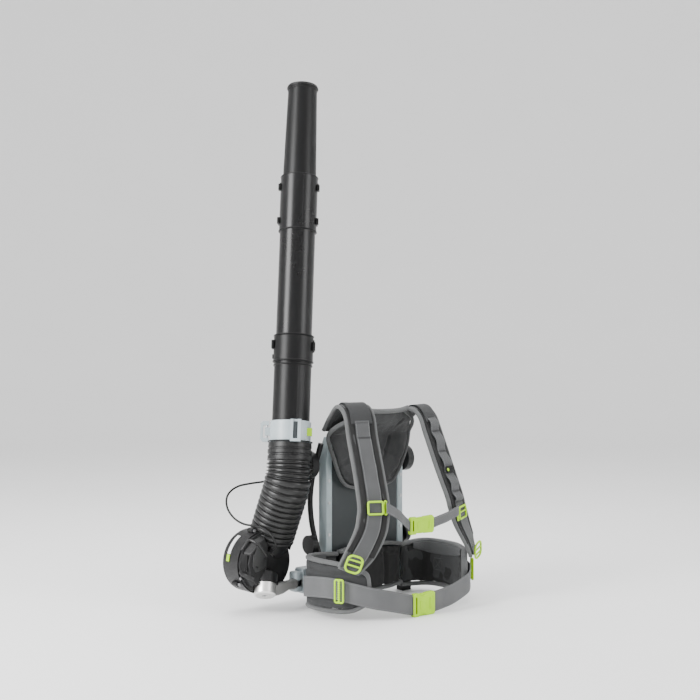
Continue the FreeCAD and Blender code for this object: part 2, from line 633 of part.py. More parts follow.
motor_blank = fuse(
    "motor_blank", cylinder("motor_can", dim.motor_radius, dim.motor_length, shifted(fan_frame, z=-3.0)),
    cylinder("motor_nose", 11.0, 3.0, shifted(fan_frame, z=21.0)))
fan_motor = cut("fan_motor", motor_blank, cylinder("motor_bore", dim.shaft_radius + 2.0, 60,
    shifted(fan_frame, z=-20)))
motor_mount = plate_body("motor_mount", [
    (-36.0, -36.0), (14.0, -36.0), (36.0, -14.0), (36.0, 36.0), (-36.0, 36.0)], 3.0, shifted(fan_frame, z=3.4),
    circles=((0.0, 0.0, dim.motor_radius + 0.2),))
rotor_bearings = group("rotor_bearings", *[
    turned_body("bearing_%d" % i, ring_profile(dim.shaft_radius + 1.95, dim.shaft_radius + dim.running_gap, z,
    z + 4.0, 0.3),
                fan_frame) for i, z in enumerate((-1.0, 18.0))])
rotor_shaft = cylinder("rotor_shaft", dim.shaft_radius, 50.0, shifted(fan_frame, z=-2.5))
BLADE_Z = 30.0
impeller_disc = turned_body("impeller_disc", [
    (dim.shaft_radius, BLADE_Z - 4.0), (12.0, BLADE_Z - 4.0), (dim.impeller_radius, BLADE_Z),
    (dim.impeller_radius, BLADE_Z + 2.5),
    (30.0, BLADE_Z + 4.0), (14.0, BLADE_Z + 16.0), (dim.shaft_radius, BLADE_Z + 18.0)], fan_frame)
blades = []
for i in range(int(dim.blade_count.value)):
    blade_place = turned(fan_frame, V(0, 0, 1), 360.0 * i / dim.blade_count.value)
    blade_place = turned(shifted(blade_place, x=20.0, z=BLADE_Z + 1.0), V(0, 0, 1), -28.0)
    blades.append(box("blade_%d" % i, (0.0, -1.1, 0.0), 38.0, 2.2, dim.impeller_width, blade_place))
impeller = fuse("impeller", impeller_disc, *blades)

screw_parts = [
    cylinder("rim_screw_%d" % i, 3.6, 5.0, rim_spot(angle, 6.0)) for i, angle in enumerate(SCREW_ANGLES)]
housing_screws = group("housing_screws", *screw_parts)
trim_outer = cylinder("trim_outer", scroll_outer + 1.8, 12.0,
    shifted(turned(fan_frame, V(0, 0, 1), 5.0), z=34.0), 51)
trim_strip = cut("trim_strip", trim_outer, cylinder("trim_inner", scroll_outer + 0.1, 60.0, fan_frame))
cuff_ring = turned_body("cuff_ring", [
    (dim.neck_radius + 0.3, -18.0), (cuff - 1.0, -18.0), (cuff, -16.0), (cuff, -6.0), (cuff - 2.0, -4.5),
    (cuff, -3.0),
    (cuff, 0.5), (dim.neck_radius + 0.3, 0.5)], neck_frame)
bellows_lower_cuff = cut(
    "bellows_lower_cuff", cuff_ring, cylinder("cuff_scroll_room", scroll_outer + 0.4, 200.0,
    shifted(fan_frame, z=-60)),
    neck_loft("cuff_neck_room", 0.25, 40.0))
gland_spot = V(-287.0, 20.0, 152.0)
cable_gland = fuse(
    "cable_gland", cylinder("gland_stem", 5.0, 12.0, frame(gland_spot, V(0, 1, 0))),
    cone("gland_taper", 3.0, 5.0, 8.0, frame(gland_spot - V(0, 8, 0), V(0, 1, 0))))
publish(intake_grille, fan_motor, motor_mount, rotor_bearings, rotor_shaft, impeller, housing_screws,
    trim_strip,
        bellows_lower_cuff, cable_gland)

# ---------------------------------------------------------------- swivel arm and brackets
cap_half = dim.cap_length / 2
swivel_cap = turned_body("swivel_cap", [
    (bore_radius + 0.0, -cap_half), (dim.cap_radius - 3.0, -cap_half), (dim.cap_radius, -cap_half + 3.0),
    (dim.cap_radius, cap_half), (bore_radius + 0.0, cap_half)], swivel_frame)
pivot_pin = turned_body("pivot_pin", [
    (1.5, -13.0), (dim.pin_radius, -13.0), (dim.pin_radius, 33.0), (dim.pin_radius - 1.0, 34.0), (1.5, 34.0)],
    swivel_frame)
arm_blank = plate_body("arm_blank", [
    (-296.0, 42.0), (-272.0, 42.0), (-258.0, 44.0), (-240.0, 51.0), (-200.0, 50.0), (-200.0, 80.0),
    (-240.0, 74.0),
    (-296.0, 72.0)], 17.0, FreeCAD.Placement(V(0, 22.5, 0), FreeCAD.Rotation()), role="XZ_Plane")
arm_round = rounded("arm_round", arm_blank, 6.0, along(V(1, 0, 0), 0.5))
swivel_arm = cut(
    "swivel_arm", arm_round, cylinder("arm_cap_room", dim.cap_radius + 0.02, 90.0,
    shifted(swivel_frame, z=-45)),
    cylinder("arm_boss_room", dim.cap_radius + 4.5, 60.0, shifted(swivel_frame, z=cap_half.value - 0.5)))


def side_bracket(name, side, reach):
    low = (-reach, 4.0, 36.0) if side < 0 else (dim.rail_outer_x.value, 4.0, 36.0)
    block = box(name + "_block", low, reach - dim.rail_outer_x.value, 34.0, 62.0)
    return rounded(name, block, 6.0, along(V(0, 1, 0)))


side_brackets = group("side_brackets", side_bracket("bracket_right", -1, 199.8),
    side_bracket("bracket_left", 1, 172.0))
publish(swivel_cap, pivot_pin, swivel_arm, side_brackets)

# ---------------------------------------------------------------- frame
outer_x = dim.rail_outer_x
inner_x = outer_x - dim.rail_width


def rail(name, side):
    blank = plate_body(name + "_blank", [
        (outer_x * side, dim.rail_bottom), (outer_x * side, 350.0), ((outer_x - 5.0) * side, 390.0),
        ((outer_x - 16.0) * side, dim.rail_top), ((inner_x - 8.0) * side, dim.rail_top),
        ((inner_x) * side, 380.0),
        (inner_x * side, dim.rail_bottom)], dim.rail_depth, shifted(HERE, y=dim.rail_depth.value),
        role="XZ_Plane")
    return rounded(name, blank, 4.0, lambda edge: edge.BoundBox.YMax < 0.5 and not along(V(0, 1, 0))(edge))


side_rails = group("side_rails", rail("rail_right", -1), rail("rail_left", 1))
panel_x = dim.panel_half_width - 0.2
back_panel = plate_body("back_panel", [
    (-panel_x, dim.panel_bottom), (panel_x, dim.panel_bottom), (panel_x, 380.0),
    (panel_x - 10.0, dim.panel_top - 16.0),
    (panel_x - 30.0, dim.panel_top), (-panel_x + 30.0, dim.panel_top), (-panel_x + 10.0, dim.panel_top - 16.0),
    (-panel_x, 380.0)], dim.panel_thickness, shifted(HERE, y=3.0 + dim.panel_thickness.value), role="XZ_Plane")
bay_x = dim.bay_half_width
bay_back = dim.panel_thickness + 3.2
bay_block = box("bay_block", (-bay_x.value, bay_back.value, dim.bay_bottom.value), bay_x * 2, dim.bay_depth,
    dim.bay_top - dim.bay_bottom)
bay_round = rounded("bay_round", bay_block, 10.0, lambda edge: along(V(0, 0, 1))(edge)
    and edge.BoundBox.YMin > 50)
bay_space = box("bay_space", (-bay_x.value + 3, bay_back.value + 3, dim.bay_bottom.value + 3),
    (bay_x - dim.bay_wall) * 2,
                dim.bay_depth - dim.bay_wall * 2, 400)
latch_hole = box("latch_hole", (-14.2, 88.0, 269.8), 28.4, 30.0, 20.4)
rear_housing = cut("rear_housing", bay_round, bay_space, latch_hole)
battery_x = dim.battery_half_width
battery_block = box("battery_block", (-battery_x.value, 18.0, 74.0), battery_x * 2, dim.battery_depth,
    dim.battery_length)
battery_slot = box("battery_slot", (-20, 40, 70), 40, 12, 26)
battery_notch = box("battery_notch", (-16, 82, 262), 32, 10, 36)
battery_round = rounded("battery_round", battery_block, 9.0,
    lambda edge: along(V(0, 0, 1))(edge) or edge.BoundBox.ZMin > 340)
battery_pack = cut("battery_pack", battery_round, battery_slot, battery_notch)
latch_plate = box("latch_plate", (-14.0, 92.5, 270.0), 28.0, 14.5, 20.0)
battery_latch = rounded("battery_latch", latch_plate, 2.5, lambda edge: edge.BoundBox.YMin > 106.5)
control_board = fuse("control_board", box("board", (-46, 20, 42), 92, 68, 2.4),
                     box("board_heat_sink", (-40, 60, 44), 30, 24, 14),
                     box("board_terminals", (-14, 43, 44), 28, 5, 44))
keel = box("keel", (-18.0, -8.0, 0.0), 36, 118, dim.foot_height)
keel_foot = rounded("keel_foot", keel, 6.0, along(V(0, 0, 1)))
side_feet = [box("foot_" + name, (x, 8.0, 0.0), 28, 26, 36) for name, x in (("right", -166.0), ("left", 138.0))]
feet = group("feet", cut("keel_cut", keel_foot, box("keel_room", (-30, -20, 28), 60, 28.5, 20)), *side_feet)
HANDLE_TOP = 458.0
carry_handle = tube_along("carry_handle", [
    V(-58, 22, 400), V(-58, 24, 440), V(-34, 28, HANDLE_TOP), V(34, 28, HANDLE_TOP), V(58, 24, 440),
    V(58, 22, 400)], 7.0)


def guard(name, side):
    """Bumper bow on the frame's side, with a round pad near its top and a small one near its bottom."""
    x = outer_x.value + 7.2
    bow = tube_along(name + "_bow", [
        V(side * (x + 2), 10, 404), V(side * (x + 6), 20, 368), V(side * (x + 8), 38, 318),
        V(side * (x + 8), 48, 262),
        V(side * (x + 8), 42, 206), V(side * (x + 6), 26, 156), V(side * (x + 2), 14, 120)],
        dim.guard_tube_radius)
    top_pad = cylinder(name + "_top_pad", 34.0, 20.0, frame(V(side * (x + 14), 34, 350), V(side, 0, 0)))
    low_pad = cylinder(name + "_low_pad", 24.0, 16.0, frame(V(side * (x + 12), 30, 150), V(side, 0, 0)))
    return fuse(name, bow, top_pad, low_pad)


guard_bars = group("guard_bars", guard("guard_right", -1), guard("guard_left", 1))
screw_parts = []
for side in (-1, 1):
    for z in (310.0, 255.0, 175.0):
        screw_parts.append(cylinder("rail_screw_%d_%d" % (side + 1, int(z)), dim.screw_radius, 1.6,
                                    frame(V(side * 121.0, 0.0, z), V(0, -1, 0))))
frame_screws = group("frame_screws", *screw_parts)
publish(side_rails, back_panel, rear_housing, battery_pack, battery_latch, control_board, feet, carry_handle,
        guard_bars, frame_screws)

# ---------------------------------------------------------------- harness
# A strap station is (centre, direction its width runs, outward normal, share of the full width), for the right
# strap as if it were mirrored to +X. The left strap leans in toward its lower end, and its shoulder sits lower.
STRAP = [
    (V(104, 2, 437), V(1, 0, 0), V(0, 0.85, 0.50), 0.90),
    (V(104, -28, 471), V(1, 0.10, 0), V(0, 0.35, 0.94), 0.95),
    (V(110, -72, 499), V(1, 0.28, 0), V(0, -0.25, 0.97), 1.0),
    (V(114, -106, 479), V(1, 0.28, 0), V(0.05, -0.80, 0.60), 1.0),
    (V(120, -128, 420), V(1, 0.25, 0), V(0.15, -0.96, 0.30), 1.0),
    (V(131, -164, 340), V(1, 0.26, 0), V(0.25, -0.92, 0.30), 1.0),
    (V(142, -193, 274), V(1, 0.30, 0), V(0.28, -0.94, 0.18), 1.0),
    (V(149, -200, 244), V(1, 0.33, 0.08), V(0.32, -0.94, 0.08), 1.0),
    (V(163, -205, 208), V(1, 0.40, 0.22), V(0.39, -0.92, -0.05), 0.97),
    (V(193, -204, 162), V(1, 0.60, 0.35), V(0.52, -0.84, -0.15), 0.86),
    (V(219, -194, 126), V(1, 0.75, 0.45), V(0.62, -0.76, -0.20), 0.64),
]
LEAN_BELOW, LEAN = 430.0, 0.100
DROP_ABOVE, DROP = 437.0, 0.18
SLIDERS = {-1: (V(144.5, -196, 264), V(1, 0.31, 0.03), V(0.29, -0.94, 0.15)),
           1: (V(132.5, -202, 232), V(1, 0.35, 0.12), V(0.34, -0.93, 0.04))}
LOCKS = {-1: (V(210, -200, 144), V(1, 0.66, 0.40), V(0.57, -0.80, -0.18)),
         1: (V(187, -202, 133), V(1, 0.42, 0.36), V(0.36, -0.92, -0.12))}


def strap_stations(side):
    if side < 0:
        return STRAP
    return [(V(c.x - max(0.0, LEAN_BELOW - c.z) * LEAN, c.y, c.z - max(0.0, c.z - DROP_ABOVE) * DROP), across,
        normal, share)
            for c, across, normal, share in STRAP]


def mirrored(vector, side):
    return V(vector.x * side, vector.y, vector.z)


def band(name, stations, side, width, thickness, offset=0.0):
    """A flat band through stations, lifted by offset along each station's normal."""
    sections = []
    for centre, across, normal, share in stations:
        across_unit = V(across).normalize()
        normal_unit = V(normal) - across_unit * across_unit.dot(normal)
        normal_unit.normalize()
        middle = centre + normal_unit * offset
        corners = []
        for a, n in ((-1, -1), (1, -1), (1, 1), (-1, 1)):
            corner = middle + across_unit * (a * share * width / 2) + normal_unit * (n * thickness / 2)
            corners.append(mirrored(corner, side))
        sections.append(corners)
    return loft(name, sections)


strap_width = dim.strap_width.value
strap_thickness = dim.strap_thickness.value
web_thickness = dim.web_thickness.value
WEB_LIFT = strap_thickness / 2 + web_thickness / 2 + 0.5
STRAP_WEB_WIDTH = 38.0
shoulder_strap_right = band("shoulder_strap_right", strap_stations(-1), -1, strap_width, strap_thickness)
shoulder_strap_left = band("shoulder_strap_left", strap_stations(1), 1, strap_width, strap_thickness)
strap_webbing = group("strap_webbing", *[
    band("strap_web_%s" % word, strap_stations(side)[3:], side, STRAP_WEB_WIDTH, web_thickness, WEB_LIFT + 0.6)
    for word, side in (("right", -1), ("left", 1))])


def station_frame(station, side, lift):
    """Placement on a station: X across the band, Y along it, Z outward."""
    centre, across, normal = station
    x_axis = mirrored(V(across), side)
    z_axis = mirrored(V(normal), side)
    x_axis = x_axis - z_axis * (x_axis.dot(z_axis) / z_axis.Length ** 2)
    place = frame(mirrored(centre, side), z_axis, x_axis)
    return shifted(place, z=lift)


def buckle_frame_plate(name, placement, width, height, thickness, bars):
    """A webbing adjuster: a flat frame with open windows between its bars."""
    plate = box(name + "_plate", (-width / 2, -height / 2, 0), width, height, thickness, placement)
    rim = 4.0
    window = (height - rim * (bars + 1)) / bars
    windows = [box(name + "_window_%d" % i, (-width / 2 + rim, -height / 2 + rim + i * (window + rim), -1),
                   width - 2 * rim, window, thickness + 2, placement) for i in range(bars)]
    return cut(name, plate, *windows)


ADJUSTER_LIFT = WEB_LIFT + 2.4
adjusters = []
for word, side in (("right", -1), ("left", 1)):
    slider_place = station_frame(SLIDERS[side], side, ADJUSTER_LIFT)
    lock_place = station_frame(LOCKS[side], side, ADJUSTER_LIFT)
    adjusters.append(buckle_frame_plate("slider_" + word, slider_place, 44, 34, 4.0, 1))
    adjusters.append(buckle_frame_plate("ladder_lock_" + word, lock_place, 42, 44, 5.0, 2))
strap_adjusters = group("strap_adjusters", *adjusters)

YOKE = [  # half width, y of the pad's middle, z
    (40.0, -11.0, 286.0), (78.0, -12.0, 298.0), (102.0, -14.0, 326.0), (121.0, -17.0, 368.0),
    (134.0, -15.0, 402.0),
    (137.0, -16.0, 426.0), (130.0, -36.0, 446.0), (104.0, -62.0, 465.0), (62.0, -78.0, 484.0)]
YOKE_HALF = 6.5
yoke_pad = loft("yoke_pad", [
    [V(-half, y - YOKE_HALF, z), V(half, y - YOKE_HALF, z), V(half, y + YOKE_HALF, z),
    V(-half, y + YOKE_HALF, z)]
    for half, y, z in YOKE])
lumbar_pad = loft("lumbar_pad", [
    [V(x, -8.0, low), V(x, front, low), V(x, front, high), V(x, -8.0, high)]
    for x, front, low, high in ((-104, -22, 34, 132), (-60, -28, 27, 138), (0, -29, 26, 140),
    (60, -28, 27, 138), (104, -22, 34, 132))])

WING = [  # middle line of the left wing, seen from above, and the height of its lower and upper edge
    (108.0, -14.0, 24.0, 128.0), (158.0, -12.0, 20.0, 132.0), (194.0, -17.0, 18.0, 133.0),
    (213.0, -38.0, 18.0, 133.0),
    (217.0, -85.0, 18.0, 133.0), (210.0, -132.0, 19.0, 132.0), (190.0, -172.0, 24.0, 126.0),
    (162.0, -200.0, 44.0, 108.0)]


def flat_normals(line):
    """Unit normals of a plan line, outward on the wearer's left side."""
    normals = []
    for i in range(len(line)):
        before = line[max(i - 1, 0)]
        after = line[min(i + 1, len(line) - 1)]
        run = V(after[0] - before[0], after[1] - before[1], 0)
        normals.append(V(-run.y, run.x, 0).normalize())
    return normals


def settled(line, side, share=0.10):
    """A plan line for one side: the left half of the hip belt sits a little further in than the right half."""
    if side < 0:
        return line
    return [(point[0] - max(0.0, point[0] - 110.0) * share, *point[1:]) for point in line]


def wing(name, side):
    half = dim.wing_thickness.value / 2
    sections = []
    line = settled(WING, side)
    for (x, y, low, high), normal in zip(line, flat_normals(line)):
        inner = V(x, y, 0) - normal * half
        outer = V(x, y, 0) + normal * half
        sections.append([mirrored(V(point.x, point.y, z), side) for point, z in (
            (inner, low), (outer, low), (outer, high), (inner, high))])
    return loft(name, sections)


hip_wing_right = wing("hip_wing_right", -1)
hip_wing_left = wing("hip_wing_left", 1)

HIP_WEB = [  # middle line of the webbing from the side bracket forward to the buckle, and its height
    (224.0, -30.0, 65.0), (229.5, -85.0, 72.0), (222.0, -136.0, 75.0), (201.0, -180.0, 68.0),
    (167.0, -212.0, 57.0),
    (118.0, -228.0, 45.0)]
HIP_WEB_END_RIGHT = [(72.0, -233.0, 33.0), (53.0, -233.0, 28.0)]
HIP_WEB_END_LEFT = [(60.0, -233.0, 33.0), (17.0, -233.0, 28.0)]


def standing_band(name, line, side, width, thickness):
    half = thickness / 2
    sections = []
    for (x, y, z), normal in zip(line, flat_normals(line)):
        inner = V(x, y, 0) - normal * half
        outer = V(x, y, 0) + normal * half
        sections.append([mirrored(V(point.x, point.y, level), side) for point, level in (
            (inner, z - width / 2), (outer, z - width / 2), (outer, z + width / 2), (inner, z + width / 2))])
    return loft(name, sections)


web_width = dim.web_width.value
hip_webbing_right = standing_band("hip_webbing_right", HIP_WEB + HIP_WEB_END_RIGHT, -1, web_width,
    web_thickness)
hip_webbing_left = standing_band("hip_webbing_left", settled(HIP_WEB, 1, 0.07) + HIP_WEB_END_LEFT, 1, web_width,
    web_thickness)
CHEST_WEB_RIGHT = [(126.0, -222.0, 266.0), (100.0, -226.0, 252.0), (72.0, -222.0, 233.0), (46.6, -215.0, 215.0)]
CHEST_WEB_LEFT = [(112.0, -224.0, 240.0), (90.0, -226.0, 233.0), (60.0, -221.0, 223.0), (30.6, -215.0, 215.0)]
CHEST_WEB_WIDTH = 25.0
chest_webbing_right = standing_band("chest_webbing_right", CHEST_WEB_RIGHT, -1, CHEST_WEB_WIDTH, web_thickness)
chest_webbing_left = standing_band("chest_webbing_left", CHEST_WEB_LEFT, 1, CHEST_WEB_WIDTH, web_thickness)


def side_release_buckle(name, centre, length, height, thickness, tongue):
    """Socket on the wearer's right, plug with two sprung prongs on the left, which slides out along +X."""
    here = frame(centre, V(0, -1, 0), V(1, 0, 0))
    socket_length = length * 0.56
    low = (-length / 2, -height / 2, -thickness / 2)
    body = rounded(name + "_body", box(name + "_blank", low, socket_length, height, thickness, here),
        thickness * 0.28,
                   lambda edge: along(V(1, 0, 0))(edge) or along(V(0, 1, 0))(edge))
    room = box(name + "_room", (-length / 2 + 12, -height / 2 + 4, -thickness / 2 + 2.6), socket_length,
        height - 8, thickness - 5.2, here)
    side_windows = [box(name + "_side_%d" % i, (-length / 2 + 13, y, -thickness / 2 + 2.0), 15, 6,
        thickness - 4, here)
                    for i, y in enumerate((-height / 2 - 1, height / 2 - 5))]
    web_slot = box(name + "_slot", (-length / 2 + 3, -height / 2 + 5, -thickness), 4, height - 10,
        thickness * 2, here)
    socket = cut(name + "_socket", body, room, web_slot, *side_windows)
    plug_from = -length / 2 + socket_length + 0.4
    plug_length = length / 2 - plug_from
    head = rounded(name + "_head", box(name + "_head_blank", (plug_from, -height / 2, -thickness / 2),
        plug_length, height,
                                       thickness, here), thickness * 0.28,
                   lambda edge: along(V(1, 0, 0))(edge) or along(V(0, 1, 0))(edge))
    head_slot = box(name + "_head_slot", (length / 2 - 7, -height / 2 + 5, -thickness), 4, height - 10,
        thickness * 2, here)
    prong_gap = 0.4
    prongs = [box(name + "_prong_%d" % i, (plug_from - tongue, y, -thickness / 2 + 2.6 + prong_gap), tongue + 4,
        5.0,
                  thickness - 5.2 - 2 * prong_gap, here)
              for i, y in enumerate((-height / 2 + 4.6, -2.5, height / 2 - 9.6))]
    plug = cut(name + "_plug", fuse(name + "_plug_solid", head, *prongs), head_slot)
    return socket, plug


HIP_BUCKLE = V(-19.0, -233.0, 26.5)
CHEST_BUCKLE = V(-8.0, -215.0, 214.0)
hip_buckle_socket, hip_buckle_plug = side_release_buckle("hip_buckle", HIP_BUCKLE, 66.0, 52.0, 13.0, 22.0)
chest_buckle_socket, chest_buckle_plug = side_release_buckle("chest_buckle", CHEST_BUCKLE, 74.0, 38.0, 11.0,
    21.0)
hip_adjusters = group("hip_adjusters", *[
    buckle_frame_plate("hip_lock_" + word, shifted(frame(
        V(x, -158.0, 73.5), V(lean, -0.5, 0), V(0, 0, 1)), z=14.2), 58.0, 26.0, 4.0, 1)
    for word, x, lean in (("right", -212.0, -0.86), ("left", 204.9, 0.86))])
publish(yoke_pad, shoulder_strap_right, shoulder_strap_left, strap_webbing, strap_adjusters, lumbar_pad,
    hip_wing_right,
        hip_wing_left, hip_webbing_right, hip_webbing_left, chest_webbing_right, chest_webbing_left,
        hip_buckle_socket,
        hip_buckle_plug, chest_buckle_socket, chest_buckle_plug, hip_adjusters)

# ---------------------------------------------------------------- control cable, handle to fan unit
handle_exit = tube_frame.multVec(V(0, 112.0, 41.0))
CABLE_POINTS = [
    handle_exit, handle_exit - tube_direction * 30, V(-190, 112, 318), V(-216, 136, 304), V(-250, 156, 300),
    V(-288, 168, 294), V(-318, 166, 274), V(-330, 148, 246), V(-328, 120, 222), V(-320, 88, 210),
    V(-312, 56, 210),
    V(-308, 24, 208), V(-304, 0, 198), V(-298, -14, 180), V(-290, -8, 160), V(-287, 12, 152)]
control_cable = tube_along("control_cable", CABLE_POINTS, dim.cable_radius.value)
publish(control_cable)

# ---------------------------------------------------------------- check and write
doc.recompute()
for obj in doc.Objects:
    if "Invalid" in obj.State or "Error" in obj.State:
        raise RuntimeError("%s is %s" % (obj.Label, obj.State))
os.makedirs("parts", exist_ok=True)
bad = [node.Label for node in nodes if node.Shape.isNull() or not node.Shape.isValid() or not node.Shape.Solids]
if bad:
    raise RuntimeError("no valid solid: %s" % ", ".join(bad))
for node in nodes:
    node.Shape.exportStep("parts/%s.step" % node.Label)
print("%d nodes" % len(nodes))
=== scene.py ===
import math
import bmesh
import bpy
import numpy as np
from mathutils import Matrix, Vector, noise
from mathutils.kdtree import KDTree


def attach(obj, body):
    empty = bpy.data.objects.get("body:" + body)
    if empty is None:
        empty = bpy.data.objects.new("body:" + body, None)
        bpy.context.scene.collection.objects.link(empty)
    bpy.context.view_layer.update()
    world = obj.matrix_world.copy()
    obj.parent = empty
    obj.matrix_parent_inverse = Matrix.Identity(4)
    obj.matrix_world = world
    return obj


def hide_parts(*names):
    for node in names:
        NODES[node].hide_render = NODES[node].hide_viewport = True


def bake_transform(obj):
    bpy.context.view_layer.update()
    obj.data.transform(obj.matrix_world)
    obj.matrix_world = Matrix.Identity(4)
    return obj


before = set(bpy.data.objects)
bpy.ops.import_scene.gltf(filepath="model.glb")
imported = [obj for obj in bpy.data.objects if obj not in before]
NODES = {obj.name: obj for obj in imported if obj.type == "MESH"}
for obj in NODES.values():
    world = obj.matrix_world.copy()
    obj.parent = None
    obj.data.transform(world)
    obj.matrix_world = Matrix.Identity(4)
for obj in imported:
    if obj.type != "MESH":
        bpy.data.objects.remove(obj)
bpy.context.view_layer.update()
V = Vector
UP = V((0, 0, 1))

SHARP_ANGLE = math.radians(32)
BEVEL_ANGLE = math.radians(30)
BOTH_SIDES = (("right", -1), ("left", 1))  # the wearer's, with the sign of x


def linked(name, data):
    """A new object in the scene that shows the given data."""
    obj = bpy.data.objects.new(name, data)
    bpy.context.scene.collection.objects.link(obj)
    return obj


# ---------------------------------------------------------------- camera
LENS_MM, SENSOR_MM = 60.0, 36.0
CAMERA_PLACE = (-1.960, -2.272, 0.638)
VIEW_DIRECTION = V((0.643, 0.766, 0.0))
camera_data = bpy.data.cameras.new("camera")
camera_data.lens = LENS_MM
camera_data.sensor_width = SENSOR_MM
camera = linked("camera", camera_data)
camera.location = CAMERA_PLACE
camera.rotation_euler = VIEW_DIRECTION.to_track_quat("-Z", "Y").to_euler()
bpy.context.scene.camera = camera


# ---------------------------------------------------------------- mesh helpers
def mm(*values):
    return V([value / 1000 for value in values])


def mesh_object(name, verts, faces, cloth=None):
    """cloth holds (across, along) in metres for each vertex, which the weave materials read."""
    mesh = bpy.data.meshes.new(name)
    mesh.from_pydata([tuple(v) for v in verts], [], faces)
    mesh.validate()
    mesh.polygons.foreach_set("use_smooth", [True] * len(mesh.polygons))
    obj = linked(name, mesh)
    if cloth is not None:
        set_cloth(obj, cloth)
    return obj


def set_cloth(obj, values):
    layer = obj.data.attributes.new("cloth", "FLOAT_VECTOR", "POINT")
    layer.data.foreach_set("vector", [part for across, along in values for part in (across, along, 0.0)])


def catmull(values, count):
    """count values spaced along a smooth curve through the given ones."""
    points = np.array([list(v) for v in values], float)
    points = np.vstack([2 * points[0] - points[1], points, 2 * points[-1] - points[-2]])
    spans = len(points) - 3
    out = []
    for t in np.linspace(0, spans, count):
        i = min(int(t), spans - 1)
        f = t - i
        a, b, c, d = points[i:i + 4]
        out.append(0.5 * (2 * b + (c - a) * f + (2 * a - 5 * b + 4 * c - d) * f ** 2
            + (3 * b - a - 3 * c + d) * f ** 3))
    return np.array(out)


def resample(points, step):
    """The same polyline with even steps of about the given length."""
    points = np.array([list(p) for p in points], float)
    lengths = np.concatenate([[0], np.cumsum(np.linalg.norm(np.diff(points, axis=0), axis=1))])
    count = max(int(lengths[-1] / step), 2)
    marks = np.linspace(0, lengths[-1], count + 1)
    return [V(p) for p in np.stack([np.interp(marks, lengths, points[:, k]) for k in range(3)], axis=1)]


def running_length(points):
    total = [0.0]
    for a, b in zip(points, points[1:]):
        total.append(total[-1] + (V(b) - V(a)).length)
    return total


def tangents(points, closed=False):
    n = len(points)
    out = []
    for i in range(n):
        before = points[(i - 1) % n] if closed else points[max(i - 1, 0)]
        after = points[(i + 1) % n] if closed else points[min(i + 1, n - 1)]
        out.append((V(after) - V(before)).normalized())
    return out


def side_frames(points, normals, closed=False):
    """(centre, across, normal) at each point, for a band whose face looks along the normals."""
    out = []
    for point, tangent, normal in zip(points, tangents(points, closed), normals):
        n = (V(normal) - tangent * tangent.dot(V(normal))).normalized()
        out.append((V(point), n.cross(tangent).normalized(), n))
    return out


def turning_frames(points):
    """Frames that twist as little as they can along a tube."""
    directions = tangents(points)
    normal = directions[0].orthogonal().normalized()
    out = []
    for point, tangent in zip(points, directions):
        normal = (normal - tangent * tangent.dot(normal)).normalized()
        out.append((V(point), normal, tangent.cross(normal).normalized()))
    return out


def ring_faces(rings, size, base=0, closed=False):
    """Quads between rings of size vertices each, the first ring starting at vertex base."""
    faces = []
    for i in range(rings if closed else rings - 1):
        low, high = base + i * size, base + (i + 1) % rings * size
        for k in range(size):
            l = (k + 1) % size
            faces.append((low + k, low + l, high + l, high + k))
    return faces


def end_caps(rings, size, base=0):
    return [tuple(base + k for k in reversed(range(size))), tuple(base + (rings - 1) * size + k for k in range(size))]


def sweep(name, frames, profile, closed=False, scale=None):
    """A closed profile of (across, outward) carried along frames. scale gives (sx, sy) at each frame."""
    rings = len(frames)
    size = len(profile)
    lengths = running_length([f[0] for f in frames])
    around = running_length([V((p[0], p[1], 0)) for p in profile])
    verts = []
    cloth = []
    for i, (centre, across, outward) in enumerate(frames):
        sx, sy = scale(i / max(rings - 1, 1)) if scale else (1.0, 1.0)
        for k, (x, y) in enumerate(profile):
            verts.append(centre + across * (x * sx) + outward * (y * sy))
            cloth.append((around[k], lengths[i]))
    faces = ring_faces(rings, size, closed=closed) + ([] if closed else end_caps(rings, size))
    obj = mesh_object(name, verts, faces, cloth)
    fix_normals(obj)
    return obj


def fix_normals(obj, weld=False):
    bm = bmesh.new()
    bm.from_mesh(obj.data)
    if weld:
        bmesh.ops.remove_doubles(bm, verts=bm.verts, dist=1e-6)
    bmesh.ops.recalc_face_normals(bm, faces=bm.faces)
    bm.to_mesh(obj.data)
    bm.free()


def round_profile(rx, ry=None, sides=14):
    ry = rx if ry is None else ry
    return [(rx * math.cos(2 * math.pi * k / sides), ry * math.sin(2 * math.pi * k / sides)) for k in range(sides)]


def flat_profile(width, thickness, corner=None, across=2):
    """A flat band's section with rounded edges."""
    r = min(corner or thickness / 2, thickness / 2)
    out = []
    for cx, cy, start in ((width / 2 - r, thickness / 2 - r, 0), (-width / 2 + r, thickness / 2 - r, 90),
                          (-width / 2 + r, -thickness / 2 + r, 180), (width / 2 - r, -thickness / 2 + r, 270)):
        for step in range(4):
            a = math.radians(start + step * 30)
            out.append((cx + r * math.cos(a), cy + r * math.sin(a)))
        if start in (0, 180):
            run = (width - 2 * r) * (-1 if start == 0 else 1)
            y = cy + r if start == 0 else cy - r
            for step in range(1, across):
                out.append((cx + run * step / across, y))
    return out


def tube(name, points, radius, sides=14, taper=None):
    return sweep(name, turning_frames(points), round_profile(radius, sides=sides),
                 scale=(lambda t: (taper(t), taper(t))) if taper else None)


def select(objects):
    bpy.ops.object.select_all(action="DESELECT")
    for obj in objects:
        obj.select_set(True)
    bpy.context.view_layer.objects.active = objects[0]


def join(name, objects):
    """One object from several, with the attributes and materials of the first."""
    select(objects)
    bpy.ops.object.join()
    objects[0].name = name
    objects[0].data.name = name
    return objects[0]


def modified(obj, kind, **settings):
    """Adds a modifier with the given settings and applies it."""
    modifier = obj.modifiers.new(kind.lower(), kind)
    for key, value in settings.items():
        setattr(modifier, key, value)
    select([obj])
    bpy.ops.object.modifier_apply(modifier=modifier.name)
    return obj


